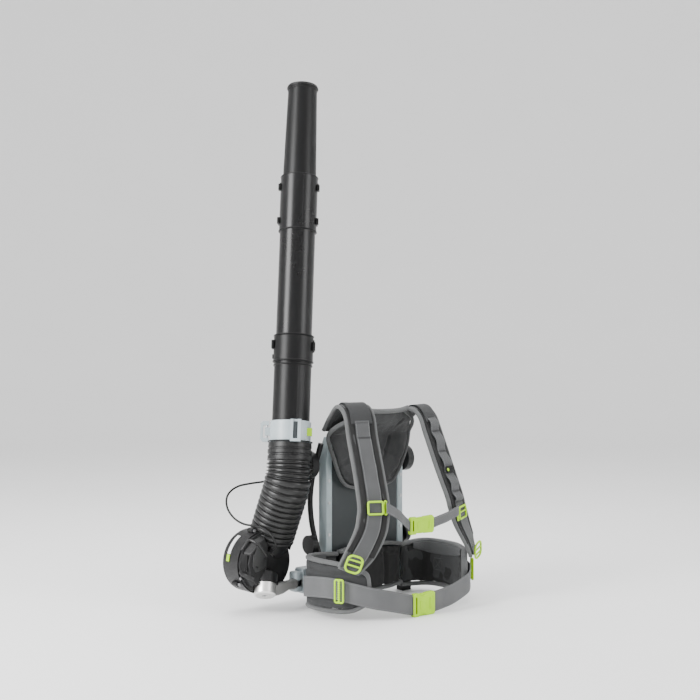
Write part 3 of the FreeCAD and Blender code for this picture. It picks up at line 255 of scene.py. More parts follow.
def soften(obj):
    """Smooth shading, with the sharp edges kept."""
    mesh = obj.data
    mesh.polygons.foreach_set("use_smooth", [True] * len(mesh.polygons))
    mesh.set_sharp_from_angle(angle=SHARP_ANGLE)
    return obj


def plate(name, outline, thickness, origin, x_axis, y_axis, holes=(), bevel=0.0008):
    """A flat piece cut from an outline of (x, y), with holes, standing on origin and rounded at its edges."""
    curve = bpy.data.curves.new(name, "CURVE")
    curve.dimensions = "2D"
    curve.fill_mode = "BOTH"
    curve.extrude = max(thickness / 2 - bevel, 0.0002)
    curve.bevel_depth = bevel
    curve.bevel_resolution = 2
    for loop in [outline, *holes]:
        spline = curve.splines.new("POLY")
        spline.points.add(len(loop) - 1)
        for point, (x, y) in zip(spline.points, loop):
            point.co = (x, y, 0, 1)
        spline.use_cyclic_u = True
    helper = linked(name + "_curve", curve)
    mesh = bpy.data.meshes.new_from_object(helper)
    bpy.data.objects.remove(helper)
    z_axis = V(x_axis).cross(V(y_axis)).normalized()
    matrix = Matrix((V(x_axis).normalized(), V(y_axis).normalized(), z_axis)).transposed().to_4x4()
    matrix.translation = V(origin)
    mesh.transform(matrix)
    mesh.name = name
    obj = linked(name, mesh)
    fix_normals(obj, weld=True)
    return soften(obj)


def rounded_outline(width, height, radius, steps=5, centre=(0.0, 0.0)):
    out = []
    for cx, cy, start in ((width / 2 - radius, height / 2 - radius, 0),
        (-width / 2 + radius, height / 2 - radius, 90),
                          (-width / 2 + radius, -height / 2 + radius, 180),
                          (width / 2 - radius, -height / 2 + radius, 270)):
        for step in range(steps + 1):
            a = math.radians(start + 90 * step / steps)
            out.append((centre[0] + cx + radius * math.cos(a), centre[1] + cy + radius * math.sin(a)))
    return out


# ---------------------------------------------------------------- materials
def node(tree, kind, **values):
    """A shader node. in_NAME or in_INDEX sets that input, or links it where the value is another node's output."""
    made = tree.nodes.new(kind)
    for key, value in values.items():
        if not key.startswith("in_"):
            setattr(made, key, value)
            continue
        place = key[3:].replace("_", " ")
        socket = made.inputs[int(place) if place.isdigit() else place]
        if isinstance(value, bpy.types.NodeSocket):
            tree.links.new(value, socket)
        else:
            socket.default_value = value
    return made


def shaded(name, roughness, metallic=0.0, coat=0.0, sheen=0.0, specular=0.5):
    material = bpy.data.materials.new(name)
    material.use_nodes = True
    tree = material.node_tree
    tree.nodes.clear()
    output = tree.nodes.new("ShaderNodeOutputMaterial")
    shader = tree.nodes.new("ShaderNodeBsdfPrincipled")
    tree.links.new(shader.outputs["BSDF"], output.inputs["Surface"])
    for name, value in (("Roughness", roughness), ("Metallic", metallic), ("Coat Weight", coat),
        ("Coat Roughness", 0.12),
                        ("Specular IOR Level", specular), ("Sheen Weight", sheen), ("Sheen Roughness", 0.6)):
        shader.inputs[name].default_value = value
    return material, tree, shader


def tinted(colour, factor, lift=0.0):
    return (*[min(c * factor + lift, 1.0) for c in colour], 1)


def mottle(tree, shader, colour, where, scale, amount, roughness, swing):
    """Colour and roughness that vary a little, as on a real moulding or cloth."""
    cloud = node(tree, "ShaderNodeTexNoise", in_Scale=scale, in_Detail=6.0, in_Roughness=0.6, in_Vector=where)
    ramp = node(tree, "ShaderNodeValToRGB", in_Fac=cloud.outputs["Fac"])
    for element, position, factor in zip(ramp.color_ramp.elements, (0.3, 0.7), (1 - amount, 1 + amount)):
        element.position = position
        element.color = tinted(colour, factor)
    rough = node(tree, "ShaderNodeMapRange", in_Value=cloud.outputs["Fac"], in_To_Min=max(roughness - swing, 0.03),
                 in_To_Max=min(roughness + swing, 1.0))
    tree.links.new(rough.outputs["Result"], shader.inputs["Roughness"])
    return ramp.outputs["Color"]


def dressed(tree, shader, colour, bump):
    """Links a mixed colour and a bump to the shader."""
    tree.links.new(colour.outputs["Result"], shader.inputs["Base Color"])
    tree.links.new(bump.outputs["Normal"], shader.inputs["Normal"])


def plastic(name, colour, roughness=0.45, grain=0.00004, grain_scale=1400.0, coat=0.0, amount=0.10, metallic=0.0,
            stretch=(1, 1, 1), specular=0.5):
    """Moulded plastic or painted metal: fine grain, uneven sheen, and rubbed patches."""
    material, tree, shader = shaded(name, roughness, metallic, coat, specular=specular)
    where = node(tree, "ShaderNodeTexCoord").outputs["Object"]
    tone = mottle(tree, shader, colour, where, 14.0, amount, roughness, 0.07)
    scuff = node(tree, "ShaderNodeTexNoise", in_Scale=60.0, in_Detail=8.0, in_Roughness=0.75, in_Distortion=0.6,
        in_Vector=where)
    mask = node(tree, "ShaderNodeMapRange", in_Value=scuff.outputs["Fac"], in_From_Min=0.58, in_From_Max=0.74,
        in_To_Min=0.0,
                in_To_Max=0.22)
    worn = node(tree, "ShaderNodeMix", data_type="RGBA", in_Factor=mask.outputs["Result"], in_A=tone,
                in_B=tinted(colour, 1.35, 0.02))
    mapping = node(tree, "ShaderNodeMapping", in_Scale=stretch, in_Vector=where)
    fine = node(tree, "ShaderNodeTexNoise", in_Scale=grain_scale, in_Detail=3.0, in_Vector=mapping.outputs["Vector"])
    bump = node(tree, "ShaderNodeBump", in_Strength=0.6, in_Distance=grain * 10, in_Height=fine.outputs["Fac"])
    dressed(tree, shader, worn, bump)
    return material


def brushed(name, colour, roughness=0.32, axis=2):
    """Turned or brushed metal, with lines round the given axis."""
    stretch = [6.0, 6.0, 6.0]
    stretch[axis] = 260.0
    return plastic(name, colour, roughness, grain=0.00003, grain_scale=8.0, metallic=1.0, amount=0.08,
        stretch=stretch)


def cloth_material(name, colour, across, along, height=0.00025, sheen=0.35, diagonal=0.0, open_mesh=0.0):
    """Woven cloth, with painted shade in the low places between its threads. Its threads follow the piece's own
    (across, along) lengths.
    """
    roughness = 0.85
    material, tree, shader = shaded(name, roughness, sheen=sheen)
    lengths = node(tree, "ShaderNodeAttribute", attribute_name="cloth", attribute_type="GEOMETRY")
    split = node(tree, "ShaderNodeSeparateXYZ", in_Vector=lengths.outputs["Vector"])

    def wave(u, v, pitch, shear):
        mixed = node(tree, "ShaderNodeMath", operation="MULTIPLY_ADD", in_0=v, in_1=shear, in_2=u)
        turned = node(tree, "ShaderNodeMath", operation="MULTIPLY", in_0=mixed.outputs[0], in_1=2 * math.pi / pitch)
        return node(tree, "ShaderNodeMath", operation="SINE", in_0=turned.outputs[0]).outputs[0]

    threads = wave(split.outputs["X"], split.outputs["Y"], across, diagonal)
    wefts = wave(split.outputs["Y"], split.outputs["X"], along, -diagonal)
    crossed = node(tree, "ShaderNodeMath", operation="MULTIPLY", in_0=threads, in_1=wefts)
    level = node(tree, "ShaderNodeMath", operation="MULTIPLY_ADD", in_0=crossed.outputs[0], in_1=0.5, in_2=0.5)
    where = node(tree, "ShaderNodeTexCoord").outputs["Object"]
    tone = mottle(tree, shader, colour, where, 24.0, 0.16, roughness, 0.06)
    fuzz = node(tree, "ShaderNodeTexNoise", in_Scale=900.0, in_Detail=2.0, in_Vector=where)
    # painted shade: the colour is darkened where the weave is low between the threads, and near-black in the holes of
    # open mesh
    weave_hollow_shade = node(tree, "ShaderNodeMapRange", in_Value=level.outputs[0], in_From_Min=0.15, in_From_Max=0.75,
               in_To_Min=0.75 + 0.2 * open_mesh, in_To_Max=0.0)
    shaded_weave = node(tree, "ShaderNodeMix", data_type="RGBA", in_Factor=weave_hollow_shade.outputs["Result"], in_A=tone,
                in_B=tinted(colour, 0.52 - 0.4 * open_mesh))
    raised = node(tree, "ShaderNodeMath", operation="MULTIPLY_ADD", in_0=fuzz.outputs["Fac"], in_1=0.35,
        in_2=level.outputs[0])
    bump = node(tree, "ShaderNodeBump", in_Strength=0.8, in_Distance=height, in_Height=raised.outputs[0])
    dressed(tree, shader, shaded_weave, bump)
    return material


LIME = (0.34, 0.60, 0.001)
gloss_black = plastic("gloss_black", (0.0025, 0.0025, 0.0027), 0.29, grain=0.000005, grain_scale=220.0, amount=0.2,
    specular=0.30)
satin_black = plastic("satin_black", (0.0025, 0.0025, 0.0027), 0.38, grain=0.00002, grain_scale=1200.0, specular=0.24)
ribbed_black = plastic("ribbed_black", (0.005, 0.005, 0.0052), 0.40, grain=0.00002, grain_scale=1600.0, specular=0.36)
bellows_black = plastic("bellows_black", (0.006, 0.006, 0.006), 0.34, grain=0.00002, grain_scale=1600.0,
    specular=0.45)
moulded_black = plastic("moulded_black", (0.007, 0.007, 0.0075), 0.44, grain=0.00004, specular=0.30)
pod_black = plastic("pod_black", (0.012, 0.012, 0.0125), 0.36, grain=0.00004, specular=0.42)
deep_black = plastic("deep_black", (0.003, 0.003, 0.0032), 0.55, grain=0.00004, specular=0.2)
rubber_black = plastic("rubber_black", (0.008, 0.008, 0.008), 0.62, grain=0.00005, grain_scale=900.0, specular=0.3)
panel_dark = plastic("panel_dark", (0.024, 0.029, 0.031), 0.42, grain=0.00003, specular=0.35)
light_grey = plastic("light_grey", (0.33, 0.38, 0.40), 0.36, grain=0.00003, coat=0.1)
rail_grey = plastic("rail_grey", (0.27, 0.325, 0.34), 0.33, grain=0.00002, coat=0.2)
lime_plastic = plastic("lime_plastic", LIME, 0.42, grain=0.00002, amount=0.06, specular=0.22)
trim_white = plastic("trim_white", (0.72, 0.73, 0.73), 0.3, grain=0.00002, coat=0.3, amount=0.04)
silver = brushed("silver", (0.86, 0.85, 0.83), 0.36, axis=2)
cast_grey = plastic("cast_grey", (0.24, 0.24, 0.235), 0.46, grain=0.0001, grain_scale=700.0, metallic=0.6)
steel = brushed("steel", (0.40, 0.40, 0.41), 0.3, axis=1)
circuit_green = plastic("circuit_green", (0.03, 0.12, 0.06), 0.35)
charcoal_cloth = cloth_material("charcoal_cloth", (0.025, 0.026, 0.027), 0.0016, 0.0016, 0.00018, sheen=0.07)
dark_cloth = cloth_material("dark_cloth", (0.019, 0.020, 0.021), 0.0018, 0.0018, 0.0002, sheen=0.05)
mesh_black = cloth_material("mesh_black", (0.0035, 0.0035, 0.0038), 0.0034, 0.0034, 0.0005, sheen=0.02, diagonal=1.0,
    open_mesh=1.0)
webbing_grey = cloth_material("webbing_grey", (0.058, 0.060, 0.062), 0.0016, 0.0034, 0.00035, sheen=0.10,
    diagonal=0.35)
webbing_light = cloth_material("webbing_light", (0.098, 0.100, 0.103), 0.0016, 0.0034, 0.00035, sheen=0.12,
    diagonal=0.35)
binding_grey = cloth_material("binding_grey", (0.092, 0.095, 0.096), 0.0013, 0.0022, 0.00022, sheen=0.10)
flap_grey = cloth_material("flap_grey", (0.052, 0.054, 0.056), 0.0016, 0.0016, 0.0002, sheen=0.08)
thread_grey = plastic("thread_grey", (0.18, 0.185, 0.19), 0.7)
thread_dark = plastic("thread_dark", (0.03, 0.03, 0.032), 0.7)


SLOTS = {charcoal_cloth: "charcoal_fabric", dark_cloth: "charcoal_fabric", mesh_black: "black_mesh",
    webbing_grey: "grey_webbing",
         webbing_light: "grey_webbing", binding_grey: "grey_webbing", thread_grey: "grey_webbing",
         thread_dark: "grey_webbing",
         rubber_black: "rubber", bellows_black: "rubber", satin_black: "tube_satin", gloss_black: "tube_gloss",
         light_grey: "grey_plastic", panel_dark: "grey_plastic", lime_plastic: "lime_plastic", trim_white: "trim",
         pod_black: "black_plastic", deep_black: "black_plastic", steel: "steel"}


def finish(obj, material, body="frame", slot=None, replaces=(), ride=True):
    """Gives the piece its material and the body it rides on. The slot (the material's own, if none is named) is
    worked out but not stored.
    """
    slot = slot or SLOTS[material]
    obj.data.materials.clear()
    obj.data.materials.append(material)
    if ride:
        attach(obj, body)
    if replaces:
        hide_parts(*replaces)
    return obj


# ---------------------------------------------------------------- control cable
CABLE_RADIUS = 0.0026
TUBE_AXIS = V((0.1305, 0.1137, 0.9849)).normalized()
TUBE_FOOT = mm(-233.8, 15.4, 366.0)
tube_x = V((math.cos(math.radians(-40)), math.sin(math.radians(-40)), 0))
tube_x = (tube_x - TUBE_AXIS * TUBE_AXIS.dot(tube_x)).normalized()
tube_y = TUBE_AXIS.cross(tube_x)


def on_tube(x, y, s):
    """A point in the tube's own frame, given in millimetres."""
    return TUBE_FOOT + (tube_x * x + tube_y * y + TUBE_AXIS * s) / 1000


handle_exit = on_tube(0, 112.0, 41.0)
CABLE_ROUTE = [
    handle_exit, handle_exit - TUBE_AXIS * 0.030, mm(-190, 112, 318), mm(-216, 136, 304), mm(-250, 156, 300),
    mm(-288, 168, 294), mm(-318, 166, 274), mm(-330, 148, 246), mm(-328, 120, 222), mm(-320, 88, 210),
    mm(-312, 56, 210), mm(-308, 24, 208), mm(-304, 0, 198), mm(-298, -14, 180), mm(-290, -8, 160), mm(-287, 12, 152)]


def nurbs_points(name, points):
    curve = bpy.data.curves.new(name, "CURVE")
    curve.dimensions = "3D"
    curve.resolution_u = 20
    spline = curve.splines.new("NURBS")
    spline.points.add(len(points) - 1)
    for target, point in zip(spline.points, points):
        target.co = (*point, 1)
    spline.order_u = 3
    spline.use_endpoint_u = True
    helper = linked(name, curve)
    mesh = bpy.data.meshes.new_from_object(helper)
    found = [v.co.copy() for v in mesh.vertices]
    bpy.data.objects.remove(helper)
    return found


cable_line = nurbs_points("control_cable_line", CABLE_ROUTE)
cable = tube("control_cable_lead", cable_line, CABLE_RADIUS, sides=14)
finish(cable, rubber_black, ride=False, replaces=["control_cable"])
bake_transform(cable)
running_length(cable_line)[-1]
relief = tube("cable_relief", [handle_exit + TUBE_AXIS * (0.004 - 0.022 * k / 10) for k in range(11)], 0.0046,
    sides=18,
              taper=lambda t: 1.0 - 0.33 * t + (0.07 if int(t * 10) % 2 else 0.0))
finish(relief, rubber_black, "tube")

# ---------------------------------------------------------------- bellows
KNEE = mm(-239.9, 10.1, 320.0)
NECK_TOP = mm(-254.6, 62.5, 176.0)
neck_direction = (KNEE - NECK_TOP).normalized()
BEND_RADIUS = 0.150
bend = neck_direction.angle(TUBE_AXIS)
reach = BEND_RADIUS * math.tan(bend / 2)
bend_low = KNEE - neck_direction * reach
plane_normal = neck_direction.cross(TUBE_AXIS).normalized()
bend_centre = bend_low + plane_normal.cross(neck_direction).normalized() * BEND_RADIUS
bellows_line = [NECK_TOP + neck_direction * 0.0015]
arm = bend_low - bend_centre
for step in range(25):
    bellows_line.append(bend_centre + Matrix.Rotation(bend * step / 24, 3, plane_normal) @ arm)
bellows_line.append(TUBE_FOOT + TUBE_AXIS * 0.0005)
BELLOWS_STEP = 0.0008
bellows_line = resample(bellows_line, BELLOWS_STEP)
BELLOWS_RADIUS = 0.0515
FAT_PITCH = 0.0136
FIN_PITCH = 0.0098
FINS = 4
CUFF_GAP = 0.004


def bellows_radius(down):
    """Outer radius at a distance below the upper cuff: thin fins first, then fat rolls."""
    if down < FINS * FIN_PITCH + CUFF_GAP:
        phase = ((down - CUFF_GAP) / FIN_PITCH) % 1.0
        spike = math.exp(-((phase - 0.5) / 0.15) ** 2)
        return BELLOWS_RADIUS - 0.0005 + 0.0062 * spike
    phase = ((down - FINS * FIN_PITCH - CUFF_GAP) / FAT_PITCH) % 1.0
    roll = max(1.0 - abs(2 * phase - 1.0) ** 3.2, 0.0)
    return BELLOWS_RADIUS - 0.0015 + 0.0072 * roll ** 0.62


bellows_length = running_length(bellows_line)[-1]
bellows_frames = turning_frames(bellows_line)
SIDES = 72
verts = []
for ring, (centre, a, b) in enumerate(bellows_frames):
    radius = bellows_radius(bellows_length - ring * bellows_length / (len(bellows_frames) - 1))
    for k in range(SIDES):
        turn = 2 * math.pi * k / SIDES
        verts.append(centre + (a * math.cos(turn) + b * math.sin(turn)) * radius)
bellows = mesh_object("bellows_hose", verts, ring_faces(len(bellows_frames), SIDES))
first_face = bellows.data.polygons[0]
faces_outward = first_face.normal.dot(first_face.center - bellows_line[0]) > 0
modified(bellows, "SOLIDIFY", thickness=0.0025, offset=-1.0 if faces_outward else 1.0)
fix_normals(bellows)
finish(bellows, bellows_black, ride=False, replaces=["bellows"])
tuple(NECK_TOP + V((0, 0, 0.01)))
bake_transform(bellows)

# ---------------------------------------------------------------- carried-over CAD pieces
CAD_FINISH = {
    gloss_black: ["upper_tube", "nozzle_sleeve"],
    satin_black: ["lower_tube", "nozzle", "tube_collar"],
    ribbed_black: ["bellows_upper_cuff", "bellows_lower_cuff"],
    moulded_black: ["scroll_front", "scroll_rear", "front_cover", "intake_grille", "motor_mount", "handle_shell_left",
                    "handle_shell_right", "trigger", "guard_bars", "cable_gland", "carry_handle", "impeller"],
    panel_dark: ["back_panel", "rear_housing"],
    rubber_black: ["feet"],
    light_grey: ["clamp_ring", "clamp_lever", "side_brackets"],
    rail_grey: ["side_rails"],
    lime_plastic: ["cruise_lever", "boost_button", "battery_latch"],
    silver: ["swivel_cap"],
    cast_grey: ["swivel_arm", "fan_motor"],
    steel: ["pivot_pin", "hinge_pins", "frame_screws", "housing_screws", "rotor_shaft", "rotor_bearings"],
    deep_black: ["battery_pack"],
    circuit_green: ["control_board"],
}
for material, names in CAD_FINISH.items():
    for name in names:
        NODES[name].data.materials.clear()
        NODES[name].data.materials.append(material)

# ---------------------------------------------------------------- soft goods
STRAP = [  # centre, direction across, outward normal, share of the full width; the right strap, mirrored to +X
    (mm(104, 2, 437), V((1, 0, 0)), V((0, 0.85, 0.50)), V((0.90, 0, 0))),
    (mm(104, -28, 471), V((1, 0.10, 0)), V((0, 0.35, 0.94)), V((0.95, 0, 0))),
    (mm(110, -72, 499), V((1, 0.28, 0)), V((0, -0.25, 0.97)), V((1, 0, 0))),
    (mm(114, -106, 479), V((1, 0.28, 0)), V((0.05, -0.80, 0.60)), V((1, 0, 0))),
    (mm(120, -128, 420), V((1, 0.25, 0)), V((0.15, -0.96, 0.30)), V((1, 0, 0))),
    (mm(131, -164, 340), V((1, 0.26, 0)), V((0.25, -0.92, 0.30)), V((1, 0, 0))),
    (mm(142, -193, 274), V((1, 0.30, 0)), V((0.28, -0.94, 0.18)), V((1, 0, 0))),
    (mm(149, -200, 244), V((1, 0.33, 0.08)), V((0.32, -0.94, 0.08)), V((1, 0, 0))),
    (mm(163, -205, 208), V((1, 0.40, 0.22)), V((0.39, -0.92, -0.05)), V((0.97, 0, 0))),
    (mm(193, -204, 162), V((1, 0.60, 0.35)), V((0.52, -0.84, -0.15)), V((0.86, 0, 0))),
    (mm(219, -194, 126), V((1, 0.75, 0.45)), V((0.62, -0.76, -0.20)), V((0.64, 0, 0))),
]
STRAP_END = 10.0
SLIDERS = {-1: (mm(144.5, -196, 264), V((1, 0.31, 0.03)), V((0.29, -0.94, 0.15))),
           1: (mm(132.5, -202, 232), V((1, 0.35, 0.12)), V((0.34, -0.93, 0.04)))}
LOCKS = {-1: (mm(210, -200, 144), V((1, 0.66, 0.40)), V((0.57, -0.80, -0.18))),
         1: (mm(187, -202, 133), V((1, 0.42, 0.36)), V((0.36, -0.92, -0.12)))}
STRAP_WIDTH = 0.082
STRAP_THICKNESS = 0.013


def mirror(vector, side):
    return V((vector[0] * side, vector[1], vector[2]))


def settled_strap(centre, side):
    """The left strap leans in toward its lower end, and its shoulder sits lower."""
    if side < 0:
        return centre
    return centre - V((max(0.0, 0.430 - centre.z) * 0.100, 0, max(0.0, centre.z - 0.437) * 0.18))


def station_frames(side, count, first=0.0, last=STRAP_END):
    """(centre, across, normal) along the shoulder strap, from station first to station last."""
    dense = 1200
    columns = [catmull([settled_strap(s[0], side) for s in STRAP], dense)]
    columns += [catmull([s[k] for s in STRAP], dense) for k in (1, 2)]
    out = []
    for t in np.linspace(first, last, count):
        i = min(int(round(t / STRAP_END * (dense - 1))), dense - 1)
        centre, across, normal = [V(column[i]) for column in columns]
        across.normalize()
        normal = (normal - across * across.dot(normal)).normalized()
        out.append((mirror(centre, side), mirror(across, side), mirror(normal, side)))
    return out


STRAP_SHARES = [V(share).x for share in catmull([s[3] for s in STRAP], 400)]


def strap_share(t):
    """The strap's width at t (0 to 1 along it), as a share of its full width."""
    return STRAP_SHARES[min(int(t * 399 + 0.5), 399)]


def held(place, side):
    """A buckle's (centre, across, normal) on one strap."""
    centre, across, normal = [mirror(part, side) for part in place]
    normal.normalize()
    across = (across - normal * across.dot(normal)).normalized()
    return centre, across, normal


def lifted(frames, height, sideways=0.0):
    def at(value, i):
        return value(i / (len(frames) - 1)) if callable(value) else value

    return [(c + n * at(height, i) + a * at(sideways, i), a, n) for i, (c, a, n) in enumerate(frames)]


def pad_profile(width, thickness, count=44, power=3.0, channel=None):
    """A crowned pad's section: full in the middle, pulled in to its bound edges, with sewn channels."""
    top = []
    half = width / 2
    for k in range(count + 1):
        u = -1 + 2 * k / count
        h = (1 - abs(u) ** power) ** 0.55 * 0.42 + 0.58 * (1 - abs(u) ** 14) ** 0.5
        drop = 0.0
        for line in channel or ():
            drop += 0.34 * math.exp(-((u - line) / 0.035) ** 2)
        top.append((u * half, thickness / 2 * (h - drop)))
    bottom = [(x, -y) for x, y in reversed(top[1:-1])]
    return top + bottom


def creased(obj, scale, height, seed=0.0):
    """Moves the surface in and out a little, as foam under cloth does."""
    mesh = obj.data
    normals = [v.normal.copy() for v in mesh.vertices]
    for v, normal in zip(mesh.vertices, normals):
        p = v.co * scale + V((seed, seed * 0.7, seed * 1.3))
        v.co += normal * (noise.fractal(p, 0.9, 2.1, 3) * height)
    mesh.update()
    return obj


VOXEL = 0.0045
PRESSURE = 4.0
CLOTH_FRAMES = 20


def stuffed(obj, cap):
    """Fills a slack bag shape by cloth simulation, with each point's travel limited to cap."""
    modified(obj, "REMESH", mode="VOXEL", voxel_size=VOXEL)
    before = np.array([v.co for v in obj.data.vertices], float)
    cloth = obj.modifiers.new("cloth", "CLOTH")
    settings = cloth.settings
    settings.quality = 5
    settings.use_pressure = True
    settings.uniform_pressure_force = PRESSURE
    settings.effector_weights.gravity = 0.0
    settings.tension_stiffness = settings.compression_stiffness = 25.0
    settings.shear_stiffness = 10.0
    settings.bending_stiffness = 0.6
    for step in range(1, CLOTH_FRAMES + 1):
        bpy.context.scene.frame_set(step)
    select([obj])
    bpy.ops.object.modifier_apply(modifier=cloth.name)
    bpy.context.scene.frame_set(1)
    after = np.array([v.co for v in obj.data.vertices], float)
    move = after - before
    length = np.linalg.norm(move, axis=1, keepdims=True)
    move = move * np.minimum(1.0, cap / np.maximum(length, 1e-9))
    for v, co in zip(obj.data.vertices, before + move):
        v.co = co
    modified(obj, "SUBSURF", levels=1, render_levels=1)
    obj.data.polygons.foreach_set("use_smooth", [True] * len(obj.data.polygons))
    return obj


def tree_of(points):
    tree = KDTree(len(points))
    for i, point in enumerate(points):
        tree.insert(point, i)
    tree.balance()
    return tree


def pressed(obj, line, width, depth):
    """Pulls the surface in along a sewn line."""
    tree = tree_of(resample(line, 0.002))
    normals = [v.normal.copy() for v in obj.data.vertices]
    for v, normal in zip(obj.data.vertices, normals):
        distance = tree.find(v.co)[2]
        if distance < width:
            v.co -= normal * (depth * (1 - (distance / width) ** 2) ** 2)
    obj.data.update()
    return obj


def slab(name, rows, normals, half):
    """A closed sheet of even thickness round a grid of points."""
    height = len(rows)
    width = len(rows[0])
    verts = []
    for sign in (1, -1):
        for i in range(height):
            for j in range(width):
                verts.append(V(rows[i][j]) + V(normals[i][j]) * (half * sign))
    layer = height * width
    faces = []
    for i in range(height - 1):
        for j in range(width - 1):
            a, b, c, d = i * width + j, i * width + j + 1, (i + 1) * width + j + 1, (i + 1) * width + j
            faces.append((a, b, c, d))
            faces.append((layer + d, layer + c, layer + b, layer + a))
    rim = [(0, j) for j in range(width)] + [(i, width - 1) for i in range(1, height)]
    rim += [(height - 1, j) for j in range(width - 2, -1, -1)] + [(i, 0) for i in range(height - 2, 0, -1)]
    for (i, j), (k, l) in zip(rim, rim[1:] + rim[:1]):
        a, b = i * width + j, k * width + l
        faces.append((a, b, layer + b, layer + a))
    obj = mesh_object(name, verts, faces)
    fix_normals(obj)
    return obj


def stitches(name, frames, offset, lift, pitch=0.0042, length=0.0028, radius=0.00045):
    """A row of raised thread stitches."""
    line = [c + a * offset + n * lift for c, a, n in frames]
    normal_line = [n for c, a, n in frames]
    lengths = running_length(line)
    verts = []
    faces = []
    mark = pitch
    index = 0
    while mark < lengths[-1] - pitch:
        while lengths[index + 1] < mark:
            index += 1
        f = (mark - lengths[index]) / (lengths[index + 1] - lengths[index])
        point = line[index].lerp(line[index + 1], f)
        along = (line[index + 1] - line[index]).normalized()
        up = normal_line[index]
        across = along.cross(up).normalized()
        base = len(verts)
        for reach, swell in ((-0.5, 0.3), (-0.3, 1.0), (0.3, 1.0), (0.5, 0.3)):
            for k in range(6):
                turn = math.pi * 2 * k / 6
                verts.append(point + along * (reach * length) + across * (radius * swell * math.cos(turn))
                             + up * (radius * swell * math.sin(turn)))
        faces += ring_faces(4, 6, base) + end_caps(4, 6, base)
        mark += pitch
    obj = mesh_object(name, verts, faces)
    fix_normals(obj)
    return obj


# -------- shoulder straps
WEB_HALF = 0.019
BIND = 0.0088
RIM_THICKNESS = 0.0105
WEB_LIFT = 0.0012
PATCH_STATION = 5.1
LOOPS_FROM, LOOPS_TO, LOOP_LENGTH = 3.2, 6.5, 0.66  # in strap stations
pad_height = STRAP_THICKNESS / 2
for word, side in BOTH_SIDES:
    pad_frames = station_frames(side, 190)
    pad = sweep("shoulder_pad_%s" % word, pad_frames, pad_profile(STRAP_WIDTH - 0.003, STRAP_THICKNESS,
        channel=(-0.52, 0.52)),
                scale=lambda t: (strap_share(t), 1.0))
    creased(pad, 22.0, 0.0011, side * 3.0)
    finish(pad, charcoal_cloth, replaces=["shoulder_strap_%s" % word])
    edge = STRAP_WIDTH / 2 - BIND * 0.42
    rims = [sweep("rim", lifted(pad_frames, 0.0, lambda t: sign * edge * strap_share(t)),
                  flat_profile(BIND, RIM_THICKNESS, 0.004, across=3)) for sign in (-1, 1)]
    c, a, n = pad_frames[-1]
    tip = [c + a * (x * edge * strap_share(1.0)) for x in np.linspace(-1.06, 1.06, 15)]
    rims.append(sweep("rim", side_frames(tip, [n] * 15), flat_profile(BIND, RIM_THICKNESS, 0.004, across=3)))
    finish(join("strap_binding_%s" % word, rims), binding_grey)
    sides = [sweep("side", lifted(station_frames(side, 150, 2.6, 9.0), pad_height - 0.0010, sign * 0.0268),
                   flat_profile(0.0125, 0.0022, 0.001, across=3)) for sign in (-1, 1)]
    finish(join("strap_mesh_%s" % word, sides), mesh_black)

    humps = 0.0060 if side > 0 else 0.0012
    web_first = 3.0 if side > 0 else 3.35

    def web_height(t):
        """The webbing stands off in loops between its bar-tacks on the upper half."""
        station = web_first + (STRAP_END - web_first) * t
        low = pad_height + WEB_LIFT
        if LOOPS_FROM < station < LOOPS_TO:
            return low + humps * math.sin(math.pi * ((station - LOOPS_FROM) / LOOP_LENGTH % 1.0)) ** 2
        return low

    web_frames = lifted(station_frames(side, 240, web_first), web_height)
    web = sweep("strap_web_%s" % word, web_frames, flat_profile(2 * WEB_HALF, 0.0019, across=8))
    finish(web, webbing_grey, replaces=["strap_webbing"] if side > 0 else ())
    seams = [stitches("s", web_frames, offset, 0.0010) for offset in (-0.0165, 0.0165)]
    seams += [stitches("s", pad_frames[:150], sign * (STRAP_WIDTH / 2 - BIND - 0.0004), pad_height * 0.86)
        for sign in (-1, 1)]
    finish(join("strap_stitching_%s" % word, seams), thread_grey)
    tacks = []
    for station in ((3.2, 3.86, 4.52, 5.18, 5.84, 6.5) if side > 0 else (3.42, 3.95)):
        c, a, n = station_frames(side, 2, station, station + 0.02)[0]
        for row in (-0.0012, 0.0012):
            along = a.cross(n)
            line = [c + a * (x / 1000 * 17.0 / 10) + n * (pad_height + 0.0030) + along * row for x in range(-10, 11)]
            tacks.append(sweep("t", side_frames(line, [n] * len(line)), round_profile(0.0007, 0.0006, 8)))
    finish(join("strap_tacks_%s" % word, tacks), thread_dark)

# -------- the strap tops' folded tabs
for word, side in BOTH_SIDES:
    tab_frames = lifted(station_frames(side, 60, 1.55, 3.45),
        lambda t: pad_height + WEB_LIFT + 0.0030 * math.sin(math.pi * t) ** 2)
    tab = sweep("strap_tab_%s" % word, tab_frames, flat_profile(0.056, 0.0026, across=10))
    finish(creased(tab, 30.0, 0.0007, 5.0), dark_cloth)

# -------- back yoke
YOKE = [(40.0, -11.0, 286.0), (78.0, -12.0, 298.0), (102.0, -14.0, 326.0), (121.0, -17.0, 368.0),
    (134.0, -15.0, 402.0),
        (137.0, -16.0, 426.0), (130.0, -36.0, 446.0), (104.0, -62.0, 465.0), (62.0, -78.0, 484.0)]
yoke_rows = [V(row) / 1000 for row in catmull(YOKE, 60)]


def yoke_grid(inset, count=48):
    rows = []
    normals = []
    for i, (half, y, z) in enumerate(yoke_rows):
        before = yoke_rows[max(i - 1, 0)]
        after = yoke_rows[min(i + 1, len(yoke_rows) - 1)]
        normal = V((0, -(after[2] - before[2]), after[1] - before[1])).normalized()
        rows.append([V(((-1 + 2 * j / count) * (half - inset), y, z)) for j in range(count + 1)])
        normals.append([normal] * (count + 1))
    return rows, normals


